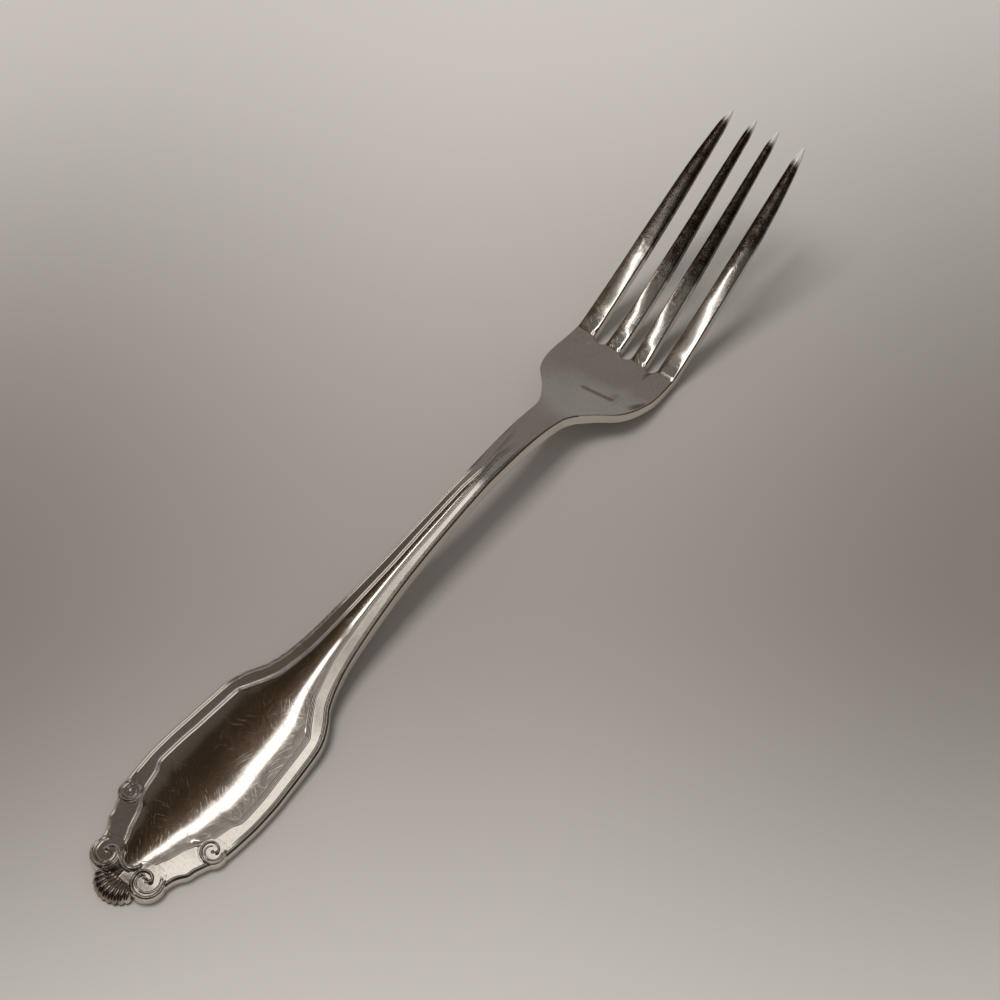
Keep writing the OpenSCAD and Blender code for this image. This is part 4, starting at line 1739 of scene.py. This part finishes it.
            fall_out = mix(round_edge(gap_out, form.edge_r * draw), fall_out, rounder)
        thick = form.thick(x)
        thin = thick * (1 - draw) * self.point_thin
        level = mix(form.dish(x, y), form.dish(x, middle), ramp(*self.level_span, u))
        base = form.under(x) + (0 if outer else self.lift) * ramp(0, 1, u) + level
        z = base + thick - fall_in - fall_out - thin
        low = base + round_edge(np.minimum(gap_in, gap_out), small) + thin
        low = np.minimum(low, z - LEAST_T)
        upper, lower = stack(x, side * y, z), stack(x, side * y, low)
        last = skin.loft(upper, lower)[-1]
        skin.cap(upper[1], lower[1], (-1, 0, 0))
        skin.cap(last[:self.tine_places], last[:self.tine_places - 1:-1], (1, 0, 0))
        return skin

    def build(self, shop: Workshop) -> None:
        """Builds the palm and the four tines.

        Args:
            shop: The workshop that they are handed over to.
        """
        shop.hand_over(self.palm(), "palm", Slot.POLISHED)
        for place, outer in (("outer", True), ("inner", False)):
            for hand, side in (("left", 1), ("right", -1)):
                shop.hand_over(self.tine(outer, side), f"tine_{place}_{hand}", Slot.TINE)


@dataclass
class Room:
    """The dim warm room that the metal mirrors.

    A direction is told by how far it leans along the fork (p) and to the fork's left (q)
    for each unit that it climbs. Bands are places q, levels and warmths.

    Attributes:
        least_climb: The least climb that p and q are worked out with.
        band_from: Value of q where the bands start.
        band_width: How far they reach.
        tine_bands: Bands seen towards the tines.
        end_bands: Bands seen towards the handle's end.
        tube_q: Place of the bright tube towards the tines.
        tube_left: Distances over which it fades on its left.
        tube_right: Distances over which it fades on its right.
        streak_q: Place of the bright streak towards the handle's end.
        streak_bend: How far it bends left for each p beyond bend_from.
        bend_from: Lean at which it bends.
        streak_near: How far it lies to the right short of the span near_span.
        near_span: Values of p over which that changes.
        streak_edge: Distances over which the streak fades.
        dark_end: Leans to the handle's end over which the room turns dark.
        steep_span: Values of q, less a share steep_share of p, of the dark part in front.
        steep_right: Leans to the right over which it is dark there too.
        front_span: Values of p over which the plain front starts.
        rim_side: Values of y over which the low rim of the room grows pale.
        rim_climb: Values of z over which the rim gives way to the room.
    """

    least_climb: float = 0.05
    band_from: float = -1.0
    band_width: float = 3.0
    tine_bands: tuple = (
        (-1.0, 0.04, 0.1), (-0.50, 0.05, 0.1), (-0.28, 0.55, 0.05), (-0.12, 0.95, 0.05),
        (0.15, 0.95, 0.05), (0.21, 0.46, 0.06), (0.26, 0.21, 0.08), (0.36, 0.12, 0.25),
        (0.44, 0.06, 0.5), (0.53, 0.026, 0.5), (0.645, 0.020, 0.4), (0.685, 0.06, 0.25),
        (0.77, 0.085, 0.2), (1.0, 0.105, 0.12), (1.3, 0.11, 0.12), (1.7, 0.04, 0.2))
    end_bands: tuple = (
        (-1.0, 0.05, 0.1), (0.10, 0.07, 0.1), (0.28, 0.10, 0.08), (0.40, 0.14, 0.06),
        (0.44, 0.12, 0.12), (0.51, 0.05, 0.4), (0.8, 0.045, 0.4), (2.0, 0.12, 0.1))
    tube_q: float = 0.335
    tube_left: tuple = (0.012, 0.05)
    tube_right: tuple = (0.016, 0.03)
    streak_q: float = 0.31
    streak_bend: float = 4.2
    bend_from: float = 0.365
    streak_near: float = 0.05
    near_span: tuple = (-0.40, -0.34)
    streak_edge: tuple = (0.03, 0.055)
    dark_end: tuple = (0.505, 0.53)
    steep_share: float = 0.55
    steep_span: tuple = (0.70, 0.90)
    steep_right: tuple = (0.05, 0.25)
    front_span: tuple = (0.42, 0.48)
    rim_side: tuple = (-0.3, 0.3)
    rim_climb: tuple = (0.20, 0.45)

    # Levels and warmths of the plain parts.
    TUBE, STREAK, DARK = grey(2.6, 0.03), grey(3.2, 0.03), grey(0.025, 0.2)
    FRONT, STEEP = grey(0.165, 0.1), grey(0.035, 0.2)
    RIM_RIGHT, RIM_LEFT = grey(0.06, 0.2), grey(0.24, 0.05)
    EVEN = grey(0.27, 0.03)

    def bands(self, g: Graph, q: Wire, stops: tuple) -> Wire:
        """A colour ramp over q through bands of a place, a level and a warmth."""
        colours = [((place - self.band_from) / self.band_width, grey(level, warm))
                   for place, level, warm in stops]
        return g.add("ShaderNodeValToRGB", {"stops": colours},
                     {0: (q - self.band_from) / self.band_width})

    def build(self) -> None:
        """Paints the world: the room for reflections and an even light for all else."""
        world = bpy.data.worlds.new("room")
        bpy.context.scene.world = world
        world.use_nodes = True
        g = Graph(world.node_tree)
        x, y, z = g.axes(g.add("ShaderNodeTexCoord", out="Generated"))
        climb = z.top(self.least_climb)
        p, q = x / climb, y / climb
        left = (q - self.tube_q).step(*self.tube_left)
        right = (self.tube_q - q).step(*self.tube_right)
        tube = (1 - left) * (1 - right) * p.step(0.0, 0.03)
        to_tines = g.colour(self.bands(g, q, self.tine_bands), self.TUBE, tube)
        back, near = p * -1.0, p.step(*self.near_span)
        bend = self.streak_bend * (back - self.bend_from).top(0.0)
        bend = q - self.streak_q - bend + self.streak_near * near
        streak = (1 - bend.size().step(*self.streak_edge)) * back.step(0.0, 0.02)
        to_end = g.colour(self.bands(g, q, self.end_bands), self.STREAK, streak)
        room = g.colour(to_tines, to_end, back.step(-0.02, 0.06))
        room = g.colour(room, self.DARK, back.step(*self.dark_end))
        steep = (q - self.steep_share * p).step(*self.steep_span)
        steep = steep.top((q * -1.0).step(*self.steep_right))
        front = g.colour(self.FRONT, self.STEEP, steep)
        room = g.colour(room, front, p.step(*self.front_span))
        rim = g.colour(self.RIM_RIGHT, self.RIM_LEFT, y.step(*self.rim_side))
        room = g.colour(rim, room, z.step(*self.rim_climb))
        gleam = g.add("ShaderNodeLightPath", out="Is Glossy Ray")
        level = g.colour(self.EVEN, room, gleam)
        sky = g.add("ShaderNodeBackground", {}, {"Color": level, "Strength": 1.0})
        g.finish("ShaderNodeOutputWorld", sky)


@dataclass
class Table:
    """The plain pale table top, with painted shade in a band across its middle and towards its
    sides, and painted light towards its ends. Lengths in metres.

    Attributes:
        half: Half its side.
        turn: Shares of x and y in the direction up the picture.
        middle: Place along that direction where the pale ends are farthest.
        reach: Distances from there to the pale ends, upwards and downwards.
        strip_turn: How far the middle between the sides' painted shade drifts along the picture.
        strip_from: Where that drift starts.
        strip_side: Distances across over which the sides take on painted shade.
        side_share: How dark the painted shade on the sides gets.
        end_share: Share of that shade which is lost at the painted pale ends.
        rough: Roughness of the paint.
        shine: Its specular level.
        grain: Scale and detail of its grain.
        grain_share: How much the grain shows.
        bump: Strength and range of the grain's bump.
    """

    half: float = 1.6
    turn: tuple = (0.753, 0.658)
    middle: float = 0.015
    reach: tuple = (0.18, -0.115)
    strip_turn: float = 0.2
    strip_from: float = 0.02
    strip_side: tuple = (0.01, 0.11)
    side_share: float = 0.5
    end_share: float = 0.8
    rough: float = 0.75
    shine: float = 0.2
    grain: tuple = (5200.0, 2.0)
    grain_share: float = 0.03
    bump: tuple = (0.1, 0.00005)

    # Painted tones: a shaded middle band, lit ends, shaded sides, and the grain.
    NEAR, FAR, SIDES, GRAIN = grey(0.455, 0.08), grey(0.875, 0.05), grey(0.12, 0.2), grey(0.9)

    def paint(self) -> bpy.types.Material:
        """The matt paint with painted shade and light: smooth steps between its tones, along and
        across.

        Returns:
            The material.
        """
        mat, g = painted("table_paint")
        place = g.add("ShaderNodeTexCoord", out="Object")
        x, y, _ = g.axes(place)
        long, short = self.turn
        along, across = long * x + short * y, short * x - long * y
        up, down = ((along + self.middle) / reach for reach in self.reach)
        far = up.top(down).step(0.0, 1.0)
        sides = (across - self.strip_turn * (along + self.strip_from)).size()
        # Painted shade towards the sides, less of it at the lit ends.
        dark = sides.step(*self.strip_side) * (1 - self.end_share * far) * self.side_share
        tone = g.colour(g.colour(self.NEAR, self.FAR, far), self.SIDES, dark)
        grain = g.noise(place, *self.grain)
        tone = g.colour(tone, self.GRAIN, grain * self.grain_share)
        paint = g.add("ShaderNodeBsdfPrincipled", {}, {
            "Base Color": tone, "Roughness": self.rough, "Specular IOR Level": self.shine,
            "Normal": g.push(grain, *self.bump)})
        g.finish("ShaderNodeOutputMaterial", paint)
        return mat

    def build(self) -> None:
        """Lays the table under the fork."""
        mesh = bpy.data.meshes.new("table_top")
        corners = [(self.half * x, self.half * y, 0)
                   for x, y in ((-1, -1), (1, -1), (1, 1), (-1, 1))]
        mesh.from_pydata(corners, [], [(0, 1, 2, 3)])
        mesh.materials.append(self.paint())
        top = placed("table_top", mesh)


@dataclass
class Studio:
    """The camera, the soft lamp, the room and the table.

    Attributes:
        aim: The point that the camera looks at, in millimetres in the shared frame.
        distance: Its distance from there, in millimetres.
        height_angle: How steeply it looks down, in degrees.
        turn_angle: How far its side of the fork is turned from behind the handle.
        roll: How far it is turned about its own line of sight.
        lens: Its focal length for a sensor 36 mm wide.
        clip: Nearest and farthest distances that it sees, in metres.
        lamp_size: Side of the square lamp, in metres.
        lamp_power: Its power in watts.
        lamp_colour: Its colour.
        lamp_place: Its place, in metres.
    """

    aim: tuple = (10.036, -1.388, 0.0)
    distance: float = 469.09
    height_angle: float = 54.417
    turn_angle: float = 41.161
    roll: float = -2.965
    lens: float = 86.4
    clip: tuple = (0.01, 20.0)
    lamp_size: float = 0.62
    lamp_power: float = 10.2
    lamp_colour: tuple = (1.0, 0.975, 0.94)
    lamp_place: tuple = (-0.08, 0.38, 1.5)

    def camera(self) -> None:
        """Puts the camera on a line back from its aim, turned by its roll."""
        el, az, roll = (math.radians(a) for a in (self.height_angle, self.turn_angle, self.roll))
        back = Vector((-math.cos(az) * math.cos(el), -math.sin(az) * math.cos(el), math.sin(el)))
        right = (-back).cross(Vector((0, 0, 1))).normalized()
        up = right.cross(-back)
        across = math.cos(roll) * right + math.sin(roll) * up
        above = -math.sin(roll) * right + math.cos(roll) * up
        data = bpy.data.cameras.new("photo_camera")
        data.lens, data.sensor_width = self.lens, 36.0
        data.clip_start, data.clip_end = self.clip
        camera = placed("photo_camera", data)
        turn = Matrix((across, above, back)).transposed().to_4x4()
        camera.matrix_world = Matrix.Translation(
            (Vector(self.aim) + back * self.distance) * MM) @ turn
        bpy.context.scene.camera = camera

    def daylight(self) -> None:
        """Soft light from the left that gives the table its shadows but no gleam."""
        data = bpy.data.lights.new("soft_light", "AREA")
        data.shape, data.size = "SQUARE", self.lamp_size
        data.energy, data.color = self.lamp_power, self.lamp_colour
        lamp = placed("soft_light", data)
        lamp.location = self.lamp_place
        lamp.rotation_euler = (Vector(self.lamp_place)).to_track_quat("Z", "Y").to_euler()
        lamp.visible_glossy = False

    def build(self) -> None:
        """Sets up all of it, and the plain view transform."""
        self.camera()
        Room().build()
        self.daylight()
        Table().build()
        bpy.context.scene.view_settings.view_transform = "Standard"


def main() -> None:
    """Builds the studio and the fork's regions in order."""
    logging.basicConfig(level=logging.INFO, format="%(message)s")
    Studio().build()
    border, shop = Border(), Workshop()
    Handle(border).build(shop)
    Ornament(border).build(shop)
    Head(border.form).build(shop)
    LOG.info("fork: %d nodes dressed", len(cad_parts))


if __name__ == "__main__":
    main()
